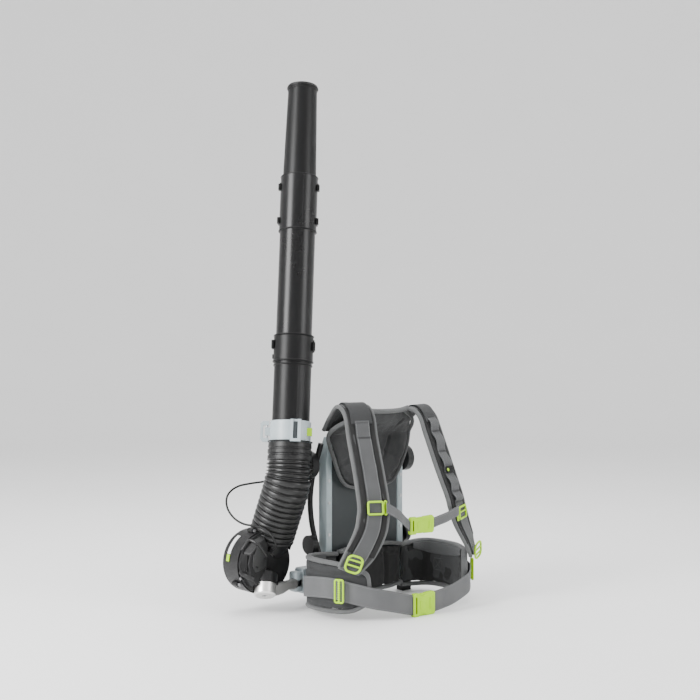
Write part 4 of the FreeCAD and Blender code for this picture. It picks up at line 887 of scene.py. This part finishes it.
rows, normals = yoke_grid(0.004)
yoke = slab("back_yoke", rows, normals, 0.0042)
stuffed(yoke, cap=0.004)
set_cloth(yoke, [(v.co.x, v.co.z - v.co.y) for v in yoke.data.vertices])
for sign in (-1, 1):
    pressed(yoke, [mm(sign * 20, -18, 290), mm(sign * 34, -22, 350), mm(sign * 62, -24, 415),
        mm(sign * 66, -70, 462)], 0.007, 0.0040)
    pressed(yoke, [mm(sign * 12, -22, 400), mm(sign * 50, -23, 376), mm(sign * 100, -22, 352)], 0.010, 0.0032)
creased(yoke, 16.0, 0.0030, 2.0)
finish(yoke, charcoal_cloth, replaces=["yoke_pad"])
rows, normals = yoke_grid(0.001)
outline = [rows[i][0] for i in range(len(rows) - 1, -1, -1)] + rows[0][1:-1] + [rows[i][-1] for i in range(len(rows))]
facing = ([normals[i][0] for i in range(len(rows) - 1, -1, -1)] + normals[0][1:-1] + [normals[i][-1]
    for i in range(len(rows))])
line = [V(p) for p in catmull(resample(outline, 0.012), 260)]
tree = tree_of(outline)
yoke_edge = sweep("yoke_binding", side_frames(line, [facing[tree.find(p)[1]] for p in line]),
    flat_profile(0.008, 0.0115, 0.004, across=3))
finish(yoke_edge, binding_grey)
neck = [mm(x, -79 - 3 * math.cos(math.pi * x / 148), 484.0 + 7.0 * (abs(x) / 74) ** 3) for x in range(-74, 75, 4)]
neck_edge = sweep("neck_binding", side_frames(neck, [V((0, -0.8, 0.5))] * len(neck)),
    flat_profile(0.012, 0.010, 0.004, across=3))
finish(neck_edge, binding_grey)

# -------- lumbar pad, in three sewn panels
LUMBAR = [(-104, 22, 34, 132), (-60, 28, 27, 138), (0, 29, 26, 140), (60, 28, 27, 138), (104, 22, 34, 132)]
lumbar_columns = catmull(LUMBAR, 60)
rows = []
normals = []
for x, front, low, high in lumbar_columns:
    middle = -(8 + front) / 2
    rows.append([mm(x * 0.985, middle, low + 3 + (high - low - 6) * k / 30) for k in range(31)])
    normals.append([V((0, -1, 0))] * 31)
lumbar = slab("lumbar_cushion", rows, normals, 0.0070)
stuffed(lumbar, cap=0.005)
set_cloth(lumbar, [(v.co.x, v.co.z) for v in lumbar.data.vertices])
for x in (-40, 40):
    pressed(lumbar, [mm(x, -28, 26), mm(x * 1.08, -29, 82), mm(x, -28, 140)], 0.010, 0.0060)
pressed(lumbar, [mm(x, -29, 116 - 0.0006 * x * x) for x in range(-100, 101, 5)], 0.006, 0.003)
creased(lumbar, 18.0, 0.0022, 4.0)
finish(lumbar, mesh_black, replaces=["lumbar_pad"])
top = [mm(x, -18, high + 0.5) for x, front, low, high in lumbar_columns]
bottom = [mm(x, -18, low - 0.5) for x, front, low, high in lumbar_columns]
edges = [sweep("e", side_frames(run, [V((0, -1, 0))] * len(run)), flat_profile(0.009, 0.019, 0.004, across=3))
    for run in (top, bottom)]
finish(join("lumbar_binding", edges), binding_grey)

# -------- hip wings
WING = [(108, -14, 24, 128), (158, -12, 20, 132), (194, -17, 18, 133), (213, -38, 18, 133), (217, -85, 18, 133),
        (210, -132, 19, 132), (190, -172, 24, 126), (162, -200, 44, 108)]
WING_THICKNESS = 0.015


def plan_frames(columns, side):
    """(point in plan, outward normal) for each (x, y, ...) of a plan line."""
    out = []
    for i, column in enumerate(columns):
        before = columns[max(i - 1, 0)]
        after = columns[min(i + 1, len(columns) - 1)]
        run = V((after[0] - before[0], after[1] - before[1], 0))
        normal = V((-run.y, run.x, 0)).normalized()
        out.append((mirror(V((column[0] / 1000, column[1] / 1000, 0)), side), mirror(normal, side)))
    return out


def settled(line, side, share=0.10):
    """The left half of the hip belt sits a little further in than the right half."""
    if side < 0:
        return line
    return [(point[0] - max(0.0, point[0] - 110.0) * share, *point[1:]) for point in line]


wing_columns = catmull(WING, 120)
wing_length = running_length([V((c[0], c[1], 0)) for c in wing_columns])
FRONT_ROUND = 46.0
WING_MIDDLE, WING_HALF = 76.0, 57.0
for i, column in enumerate(wing_columns):
    left = wing_length[-1] - wing_length[i]
    if left < FRONT_ROUND:
        middle = WING_MIDDLE
        half = WING_HALF * math.sqrt(max(1 - (1 - left / FRONT_ROUND) ** 2.4, 0.0)) * 0.86 + 8.0
        column[2] = max(column[2], middle - half)
        column[3] = min(column[3], middle + half)

for word, side in BOTH_SIDES:
    plan = plan_frames(settled(wing_columns, side), side)
    rows = []
    normals = []
    for (point, normal), column in zip(plan, wing_columns):
        low, high = column[2] / 1000 + 0.004, column[3] / 1000 - 0.004
        rows.append([point + UP * (low + (high - low) * k / 28) for k in range(29)])
        normals.append([normal] * 29)
    wing = slab("hip_wing_pad_%s" % word, rows, normals, 0.0048)
    stuffed(wing, cap=0.0035)
    tree = tree_of([point for point, normal in plan])
    set_cloth(wing, [(wing_length[tree.find(V((v.co.x, v.co.y, 0)))[1]] / 1000, v.co.z) for v in wing.data.vertices])
    for height in (0.040, 0.108):
        pressed(wing, [p + UP * height + n * (WING_THICKNESS / 2) for p, n in plan[20:]], 0.006, 0.0022)
    creased(wing, 17.0, 0.0020, 6.0 + side)
    finish(wing, dark_cloth, replaces=["hip_wing_%s" % word])
    border = ([p + UP * (c[2] / 1000) for (p, n), c in zip(plan, wing_columns)]
              + [plan[-1][0] + UP * (wing_columns[-1][2]
              + (wing_columns[-1][3] - wing_columns[-1][2]) * k / 8) / 1000 for k in range(1, 8)]
              + [p + UP * (c[3] / 1000) for (p, n), c in reversed(list(zip(plan, wing_columns)))])
    border = [V(p) for p in catmull(resample(border, 0.010), 420)]
    facing = [plan[tree.find(V((p.x, p.y, 0)))[1]][1] for p in border]
    rim = sweep("hip_binding_%s" % word, side_frames(border, facing), flat_profile(0.0105, 0.0158, 0.005, across=3))
    finish(rim, binding_grey)
    lining = []
    for (p, n), column in list(zip(plan, wing_columns))[8:-6]:
        lining.append((p - n * (WING_THICKNESS / 2 - 0.0016) + UP * (column[2] + column[3]) / 2000, UP, -n,
            (column[3] - column[2]) / 1000 - 0.022))
    half_profile = [(-0.5, 0.0), (-0.5, 0.0012), (-0.25, 0.0022), (0.0, 0.0026), (0.25, 0.0022), (0.5, 0.0012),
        (0.5, 0.0), (0.0, -0.0010)]
    inner_pad = sweep("hip_lining_%s" % word, [row[:3] for row in lining], half_profile,
                      scale=lambda t: (lining[min(int(t * (len(lining) - 1) + 0.5), len(lining) - 1)][3], 1.0))
    finish(creased(inner_pad, 20.0, 0.0015, 9.0), mesh_black)

# -------- hip webbing
HIP_WEB = [(224.0, -30.0, 65.0), (229.5, -85.0, 72.0), (222.0, -136.0, 75.0), (201.0, -180.0, 68.0),
    (167.0, -212.0, 57.0),
           (118.0, -228.0, 45.0)]
HIP_ENDS = {"right": [(72.0, -233.0, 33.0), (53.0, -233.0, 28.0)],
    "left": [(60.0, -233.0, 33.0), (17.0, -233.0, 28.0)]}
CHEST_WEBS = {"right": [(126.0, -222.0, 266.0), (100.0, -226.0, 252.0), (72.0, -222.0, 233.0), (46.6, -215.0, 215.0)],
              "left": [(112.0, -224.0, 240.0), (90.0, -226.0, 233.0), (60.0, -221.0, 223.0), (30.6, -215.0, 215.0)]}


RIPPLE = 0.0008


def standing_web(prefix, word, side, line, width, thickness, count):
    """A stitched webbing along (x, y, z) points. The left one runs from the frame to its buckle's plug."""
    name = "%s_web_%s" % (prefix, word)
    columns = catmull(line, count)
    frames = []
    for i, ((point, normal), column) in enumerate(zip(plan_frames(columns, side), columns)):
        frames.append((point + UP * column[2] / 1000 + normal * (RIPPLE * math.sin(i * 0.21)), UP, normal))
    web = sweep(name, frames, flat_profile(width, thickness, across=10))
    seams = [stitches("s", frames, sign * (width / 2 - 0.0035), thickness / 2 + 0.0002) for sign in (-1, 1)]
    seams = join(name + "_stitching", seams)
    for piece, material in ((web, webbing_light), (seams, thread_grey)):
        held_node = ["%s_webbing_%s" % (prefix, word)] if piece is web else ()
        finish(piece, material, ride=side < 0, replaces=held_node)
        if side > 0:
            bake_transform(piece)


for word, side in BOTH_SIDES:
    standing_web("hip", word, side, settled(HIP_WEB, side, 0.07) + HIP_ENDS[word], 0.050, 0.0022, 160)
    standing_web("chest", word, side, CHEST_WEBS[word], 0.025, 0.0020, 70)


# -------- adjusters
def loop_frame(name, width, height, corner, rod, place, bars=(), depth=1.0):
    """A moulded loop with rounded corners and cross bars. place is (centre, across, normal)."""
    centre, across, normal = place
    along = normal.cross(across).normalized()
    points = [centre + across * x + along * y for x, y in rounded_outline(width - rod * 2, height - rod * 2, corner)]
    points = resample(points + points[:1], 0.0015)[:-1]
    pieces = [sweep(name + "_loop", [(p, t.cross(normal).normalized(), normal) for p,
        t in zip(points, tangents(points, True))],
                    round_profile(rod, rod * depth, 12), closed=True)]
    for y in bars:
        ends = [centre + across * x + along * y for x in (-width / 2 + rod, width / 2 - rod)]
        pieces.append(sweep(name + "_bar", side_frames(resample(ends, 0.004),
            [normal] * (int((width - 2 * rod) / 0.004) + 1)),
                            round_profile(rod * 0.85, rod * 0.8, 12)))
    return join(name, pieces)


sliders = []
for side in (-1, 1):
    c, a, n = held(SLIDERS[side], side)
    c = c + n * (pad_height + 0.0060)
    sliders.append(loop_frame("slider", 0.043, 0.034, 0.004, 0.0025, (c, a, n), bars=() if side < 0 else (0.002,)))
    sliders.append(loop_frame("ring", 0.009, 0.036, 0.003, 0.0019, (c - a * 0.0262 - n * 0.0015, a, n)))
    c, a, n = held(LOCKS[side], side)
    sliders.append(loop_frame("lock", 0.041, 0.045, 0.012, 0.0026, (c + n * (pad_height + 0.0065), a, n),
        bars=(-0.009, 0.004)))
finish(join("strap_locks", sliders), lime_plastic, replaces=["strap_adjusters"])

locks = []
for side in (-1, 1):
    normal = V((side * 0.86, -0.5, 0)).normalized()
    across = normal.cross(UP).normalized()
    centre = mm(-212.0 if side < 0 else 204.9, -158.0, 73.5) + normal * 0.0162
    locks.append(loop_frame("hip_lock", 0.025, 0.058, 0.004, 0.0024, (centre, across, normal)))
    ladder = [centre + UP * (-0.025 + 0.050 * k / 60) for k in range(61)]
    locks.append(sweep("ladder", side_frames(ladder, [normal] * 61), flat_profile(0.0055, 0.0045, 0.0015, across=2),
                       scale=lambda t: (1.0 + 0.35 * math.sin(t * 60), 1.0)))
finish(join("hip_locks", locks), lime_plastic, replaces=["hip_adjusters"])

# -------- patch on the wearer's left strap
c, a, n = station_frames(1, 2, PATCH_STATION, PATCH_STATION + 0.02)[0]
along = n.cross(a)
patch = plate("strap_patch", rounded_outline(0.040, 0.017, 0.002), 0.0014, c + n * (pad_height + 0.0085), a, along,
    bevel=0.0004)
finish(patch, deep_black)
dot = plate("strap_patch_dot", rounded_outline(0.0075, 0.0075, 0.0036), 0.0012,
    c + n * (pad_height + 0.0096) - a * 0.013, a, along, bevel=0.0003)
finish(dot, lime_plastic)

# -------- inside of the hip wings: grey top flaps and a sewn square
for word, side in BOTH_SIDES:
    plan = plan_frames(settled(wing_columns, side), side)[14:-12]
    verts = []
    cloth = []
    faces = []
    deep = 10
    for i, (p, n) in enumerate(plan):
        t = i / (len(plan) - 1)
        drop = 0.013 + 0.017 * math.sin(math.pi * t) ** 0.8
        for k in range(deep + 1):
            z = 0.1300 - drop * k / deep
            bulge = 0.0012 + 0.0022 * math.sin(math.pi * k / deep)
            verts.append(p - n * (WING_THICKNESS / 2 + bulge) + UP * z)
            cloth.append((i * 0.004, z))
        if i:
            for k in range(deep):
                a, b = (i - 1) * (deep + 1) + k, i * (deep + 1) + k
                faces.append((a, b, b + 1, a + 1))
    flap = mesh_object("hip_flap_%s" % word, verts, faces, cloth)
    modified(flap, "SOLIDIFY", thickness=0.0022, offset=0.0)
    fix_normals(flap)
    finish(flap, flap_grey, slot="charcoal_fabric")

square = []
corner = [(-0.015, -0.015), (0.015, -0.015), (0.015, 0.015), (-0.015, 0.015)]
for (y0, z0), (y1, z1) in [*zip(corner, corner[1:] + corner[:1]), (corner[0], corner[2]), (corner[1], corner[3])]:
    run = [V((0.1940, -0.066 + y0 + (y1 - y0) * k / 20, 0.074 + z0 + (z1 - z0) * k / 20)) for k in range(21)]
    square.append(stitches("s", side_frames(run, [V((-1, 0, 0))] * 21), 0.0, 0.0, pitch=0.0036, radius=0.0006))
finish(join("hip_square_stitching", square), flap_grey, slot="grey_webbing")


# -------- side-release buckles
def side_buckle(prefix, centre, length, height, thickness, plug_body):
    """Socket on the wearer's right, plug with two sprung arms on the left."""
    facing = (V((1, 0, 0)), V((0, 0, 1)))
    half, tall = length / 2, height / 2
    mouth = -half + length * 0.56
    upper = [(-half, tall - 0.003), (-half + 0.003, tall), (-half + length * 0.20, tall),
        (-half + length * 0.25, tall - 0.0045),
             (-half + length * 0.40, tall - 0.0075), (mouth - 0.003, tall - 0.0050), (mouth, tall - 0.0030)]
    outline = upper + [(x, -z) for x, z in reversed(upper)]
    slot_hole = rounded_outline(0.004, height - 0.012, 0.0015, centre=(-half + 0.0065, 0.0))
    socket = plate(prefix + "_socket_body", outline, thickness, centre, *facing, holes=[slot_hole], bevel=0.0024)
    raised = plate(prefix + "_badge", rounded_outline(length * 0.20, height * 0.42, 0.003), 0.0014,
                   centre + V((-half + length * 0.38, -thickness / 2 - 0.0003, 0)), *facing, bevel=0.0005)
    finish(join(prefix + "_socket_piece", [socket, raised]), lime_plastic, replaces=[prefix + "_socket"])
    start = mouth + 0.0004
    head_edge = [(start, tall - 0.0030), (start + 0.003, tall - 0.001), (half - 0.004, tall), (half, tall - 0.003)]
    head = plate(prefix + "_head", head_edge + [(x, -z) for x, z in reversed(head_edge)], thickness, centre, *facing,
                 holes=[rounded_outline(0.004, height - 0.012, 0.0015, centre=(half - 0.0060, 0.0))], bevel=0.0024)
    pieces = [head]
    for sign in (-1, 1):
        arm = [(start + 0.002, tall - 0.0062), (start + 0.002, tall - 0.0012), (start - length * 0.10, tall - 0.0004),
               (start - length * 0.25, tall - 0.0010), (start - length * 0.33, tall - 0.0030),
               (start - length * 0.33, tall - 0.0050),
               (start - length * 0.20, tall - 0.0048), (start - length * 0.06, tall - 0.0052)]
        pieces.append(plate(prefix + "_arm", [(x, z * sign) for x, z in arm][::sign], thickness * 0.62, centre,
            *facing, bevel=0.0012))
    for k in range(3):
        x = half - 0.0125 - 0.0028 * k
        line = [centre + V((x, -thickness / 2, z / 1000)) for z in range(int(-tall * 550), int(tall * 550) + 1, 2)]
        pieces.append(sweep(prefix + "_grip", side_frames(line, [V((0, -1, 0))] * len(line)),
            round_profile(0.0008, 0.0007, 8)))
    finish(join(prefix + "_plug_piece", pieces), lime_plastic, body=plug_body, replaces=[prefix + "_plug"])


side_buckle("hip_buckle", mm(-19, -233, 26.5), 0.066, 0.052, 0.013, "hip_plug")
side_buckle("chest_buckle", mm(-8, -215, 214), 0.074, 0.038, 0.011, "chest_plug")


def web_roll(name, x, y, z, width, body):
    """The webbing's turn round a buckle's bar."""
    line = [mm(x, y, z) + UP * (width * (k / 12 - 0.5)) for k in range(13)]
    roll = sweep(name, side_frames(line, [V((0, -1, 0))] * 13), round_profile(0.0040, 0.0056, 14))
    finish(roll, webbing_grey, body)


web_roll("hip_roll_right", -51.5, -233, 27, 0.044, "frame")
web_roll("hip_roll_left", 13.5, -233, 27, 0.044, "hip_plug")
web_roll("chest_roll_right", -44.5, -215, 214, 0.024, "frame")
web_roll("chest_roll_left", 28.5, -215, 214, 0.024, "chest_plug")


# ---------------------------------------------------------------- hard details
def block(name, centre, axes, size, bevel):
    """A rounded block. axes are its own X, Y and Z directions."""
    bm = bmesh.new()
    bmesh.ops.create_cube(bm, size=1.0)
    x, y, z = [V(axis).normalized() for axis in axes]
    for v in bm.verts:
        v.co = V(centre) + x * (v.co.x * size[0]) + y * (v.co.y * size[1]) + z * (v.co.z * size[2])
    bmesh.ops.recalc_face_normals(bm, faces=bm.faces)
    mesh = bpy.data.meshes.new(name)
    bm.to_mesh(mesh)
    bm.free()
    obj = modified(linked(name, mesh), "BEVEL", width=bevel, segments=3, limit_method="ANGLE",
        angle_limit=BEVEL_ANGLE)
    return soften(obj)


def tube_ring(name, s, radius, rod, start=0.0, stop=360.0):
    """A raised lip round the tube."""
    closed = stop - start >= 360.0
    count = 96
    points = []
    normals = []
    for k in range(count if closed else count + 1):
        a = math.radians(start + (stop - start) * k / count)
        out = tube_x * math.cos(a) + tube_y * math.sin(a)
        points.append(on_tube(0, 0, s) + out * (radius / 1000))
        normals.append(out)
    return sweep(name, side_frames(points, normals, closed), round_profile(rod / 1000, rod / 1000 * 0.8, 10), closed)


TUBE_AXES = (tube_x, tube_y, TUBE_AXIS)
lips = [tube_ring("lip", s, radius, rod) for s, radius, rod in (
    (580, 47.6, 1.7), (722, 47.2, 1.5), (245.5, 49.8, 2.0), (310, 49.4, 1.6), (236, 47.4, 2.2), (46, 54.4, 1.6),
    (970 - 7, 39.0, 2.2))]
finish(join("tube_lips", lips), satin_black, "tube")
lugs = [block("lug", on_tube(x, -9, s), TUBE_AXES, size, 0.0020) for x, s, size in (
    (-48.6, 694, (0.008, 0.016, 0.016)), (48.6, 694, (0.008, 0.016, 0.016)), (-48.6, 606, (0.008, 0.016, 0.016)),
    (48.6, 606, (0.008, 0.016, 0.016)), (-50.6, 287, (0.008, 0.020, 0.022)), (50.6, 284, (0.008, 0.020, 0.022)))]
finish(join("tube_lugs", lugs), satin_black, "tube")


def tube_seam(name, angle, radius, first, last, width, height):
    a = math.radians(angle)
    out = tube_x * math.sin(a) - tube_y * math.cos(a)
    points = [on_tube(0, 0, first + (last - first) * k / 40) + out * (radius / 1000) for k in range(41)]
    return sweep(name, side_frames(points, [out] * 41), flat_profile(width, height, across=2))


seams = [tube_seam("seam", angle, 46.6, 98, 235, 0.0022, 0.0012) for angle in (21, 201)]
seams += [tube_seam("seam", angle, 47.6, 584, 719, 0.0018, 0.0010) for angle in (16, 196)]
finish(join("tube_seams", seams), gloss_black, "tube")
latch = block("clamp_latch_tab", on_tube(46.8, -21.6, 69.5), TUBE_AXES, (0.0142, 0.0140, 0.0200), 0.0018)
finish(latch, lime_plastic, "tube")
# a thin dark plate on the clamp ring stands in for its recess: its dark colour is painted shade
recess = block("clamp_recess_shade_panel", on_tube(14.5, -55.2, 69.5), TUBE_AXES, (0.0100, 0.0016, 0.0440), 0.0007)
finish(recess, panel_dark, "tube")

FAN_CENTRE = (-293.0, 42.0, 120.0)


def on_fan(x, z, depth):
    """A point on the fan unit's front, in millimetres from its centre: outward, up, and toward the viewer."""
    return mm(FAN_CENTRE[0] - x, FAN_CENTRE[1] - depth, FAN_CENTRE[2] + z)


def rim_strip(name, first, last, radius, width, thickness):
    points = []
    normals = []
    for k in range(41):
        a = math.radians(first + (last - first) * k / 40)
        normals.append(V((-math.cos(a), 0, math.sin(a))))
        points.append(on_fan(radius * math.cos(a), radius * math.sin(a), -40.0))
    return sweep(name, side_frames(points, normals), flat_profile(width, thickness, 0.0009, across=3))


finish(rim_strip("rim_trim", 18, 56, 78.0, 0.0115, 0.0022), trim_white, "fan_unit", replaces=["trim_strip"])
finish(rim_strip("rim_trim_end", 5, 17, 78.0, 0.0115, 0.0022), lime_plastic, "fan_unit")

knuckle = block("arm_knuckle", mm(-210, 21, 67), (V((1, 0, 0)), V((0, 1, 0)), V((0, 0, 1))), (0.024, 0.031, 0.050),
    0.0060)
finish(knuckle, light_grey)

FACING = (V((-1, 0, 0)), V((0, 0, 1)))
POD_FACE = 26.2


def pod_rib(points, width, height, count=50):
    """A rounded rib over the pod, through (outward, up, depth) points."""
    line = [V(p) for p in catmull([on_fan(*point) for point in points], count)]
    return sweep("rib", side_frames(line, [V((-0.25, -0.97, 0))] * count),
        flat_profile(width, height, 0.0022, across=3))


ribs = [pod_rib([(66, 37, 3), (58, 50, 6), (47, 60, 8), (38, 54, 24), (30, 46, 27.4), (20, 34, 27.6), (9, 20, 27.0)],
    0.0062, 0.0060),
        pod_rib([(72, -12, 5), (66, -20, 12), (58, -26, 22), (48, -32, 26.6)], 0.0110, 0.0080, 30),
        pod_rib([(55, 31, 26.6), (48, 38, 27.4), (40, 46, 27.0)], 0.0042, 0.0042, 20)]
finish(join("pod_ribs", ribs), pod_black, "fan_unit")
SLOPE = (V((13.5, -25.8, 1.0)), V((0, 0, 1)), V((-25.8, -13.5, 0)))
# dark plates stand in for the pod's recessed panel: their deep black is painted shade of the recess
panels = [block("panel", on_fan(67.6, 8, 14.6), SLOPE, (0.0190, 0.0440, 0.0016), 0.0007),
          block("panel", on_fan(66.2, -8, 17.0), SLOPE, (0.0060, 0.0100, 0.0030), 0.0010)]
finish(join("pod_recess_shade", panels), deep_black, "fan_unit")
plate_outline = [(37, 46), (25, 35), (9, 18), (13, -3), (24, -10), (43, -14), (51, 2), (47, 27)]
face_plate = plate("pod_plate", [(x / 1000, z / 1000) for x, z in plate_outline], 0.0034,
    on_fan(0, 0, POD_FACE + 0.6), *FACING,
                   bevel=0.0012)
finish(face_plate, pod_black, "fan_unit")
# dark blocks stand in for the pod's two slots: their deep black is painted shade inside the openings
vents = [block("vent", on_fan(x, z, POD_FACE + 1.9), (V((-1, 0, 0.5)), V((0, 1, 0)), V((0.5, 0, 1))),
    (0.0080, 0.0020, 0.0038), 0.0006)
         for x, z in ((15, 14), (40, -3))]
finish(join("pod_slot_shade", vents), deep_black, "fan_unit")


def screw_head(name, centre, radius):
    """A domed head with a cross recess, facing the front."""
    rings, sides = 5, 28
    verts = []
    for i in range(rings + 1):
        r = radius * math.cos(math.pi / 2 * i / rings * 0.92)
        rise = radius * 0.38 * math.sin(math.pi / 2 * i / rings)
        for k in range(sides):
            a = 2 * math.pi * k / sides
            dent = 0.45 * radius * 0.38 if i >= 3 and abs(math.sin(2 * a)) < 0.35 else 0.0
            verts.append(centre + V((r * math.cos(a), -rise + dent, r * math.sin(a))))
    obj = mesh_object(name, verts, ring_faces(rings + 1, sides) + end_caps(rings + 1, sides))
    fix_normals(obj)
    return obj


heads = [screw_head("head", on_fan(x, z, depth), 0.0042) for x, z, depth in (
    (69, -30, 3.0), (26, -58, 8.4), (-40, 52, 8.4))]
finish(join("fan_screw_heads", heads), steel, "fan_unit")

# ---------------------------------------------------------------- floor and light
FLOOR_RADIUS, CURVE_RADIUS, WALL_TOP = 5.0, 3.5, 7.0
TURNS = 96
profile = [(r, 0.0) for r in (0.5, 1.5, 3.0, 4.2, FLOOR_RADIUS)]
for degrees in range(6, 91, 6):
    turn = math.radians(degrees)
    profile.append((FLOOR_RADIUS + CURVE_RADIUS * math.sin(turn), CURVE_RADIUS - CURVE_RADIUS * math.cos(turn)))
profile += [(FLOOR_RADIUS + CURVE_RADIUS, 5.0), (FLOOR_RADIUS + CURVE_RADIUS, WALL_TOP)]
verts = [(0.0, 0.0, 0.0)] + [(r * math.cos(2 * math.pi * k / TURNS), r * math.sin(2 * math.pi * k / TURNS), z)
                             for r, z in profile for k in range(TURNS)]
faces = [(0, 1 + k, 1 + (k + 1) % TURNS) for k in range(TURNS)]
faces += [face[::-1] for face in ring_faces(len(profile), TURNS, 1)]
floor = mesh_object("floor", verts, faces)
floor.location.z = -0.0006
floor_material, floor_tree, floor_shader = shaded("floor_paint", 0.7)
floor_tone = mottle(floor_tree, floor_shader, (0.86, 0.86, 0.86),
    node(floor_tree, "ShaderNodeTexCoord").outputs["Object"],
                    1.5, 0.01, 0.7, 0.05)
floor_tree.links.new(floor_tone, floor_shader.inputs["Base Color"])
floor.data.materials.append(floor_material)

world = bpy.data.worlds.new("studio")
bpy.context.scene.world = world
world.use_nodes = True
world.node_tree.nodes["Background"].inputs["Color"].default_value = (1.0, 1.0, 1.0, 1)
world.node_tree.nodes["Background"].inputs["Strength"].default_value = 1.35


def softbox(name, place, target, width, height, power):
    data = bpy.data.lights.new(name, "AREA")
    data.shape = "RECTANGLE"
    data.size = width
    data.size_y = height
    data.energy = power
    lamp = linked(name, data)
    lamp.location = place
    lamp.rotation_euler = (V(target) - V(place)).to_track_quat("-Z", "Y").to_euler()


softbox("key_light", (-3.2, 0.3, 1.7), (-0.1, 0.0, 0.5), 1.3, 2.4, 210)
softbox("fill_light", (1.2, -2.9, 1.5), (0.0, 0.0, 0.4), 1.4, 2.4, 60)
softbox("top_light", (0.2, 0.4, 2.9), (0.0, 0.0, 0.3), 2.2, 2.2, 60)
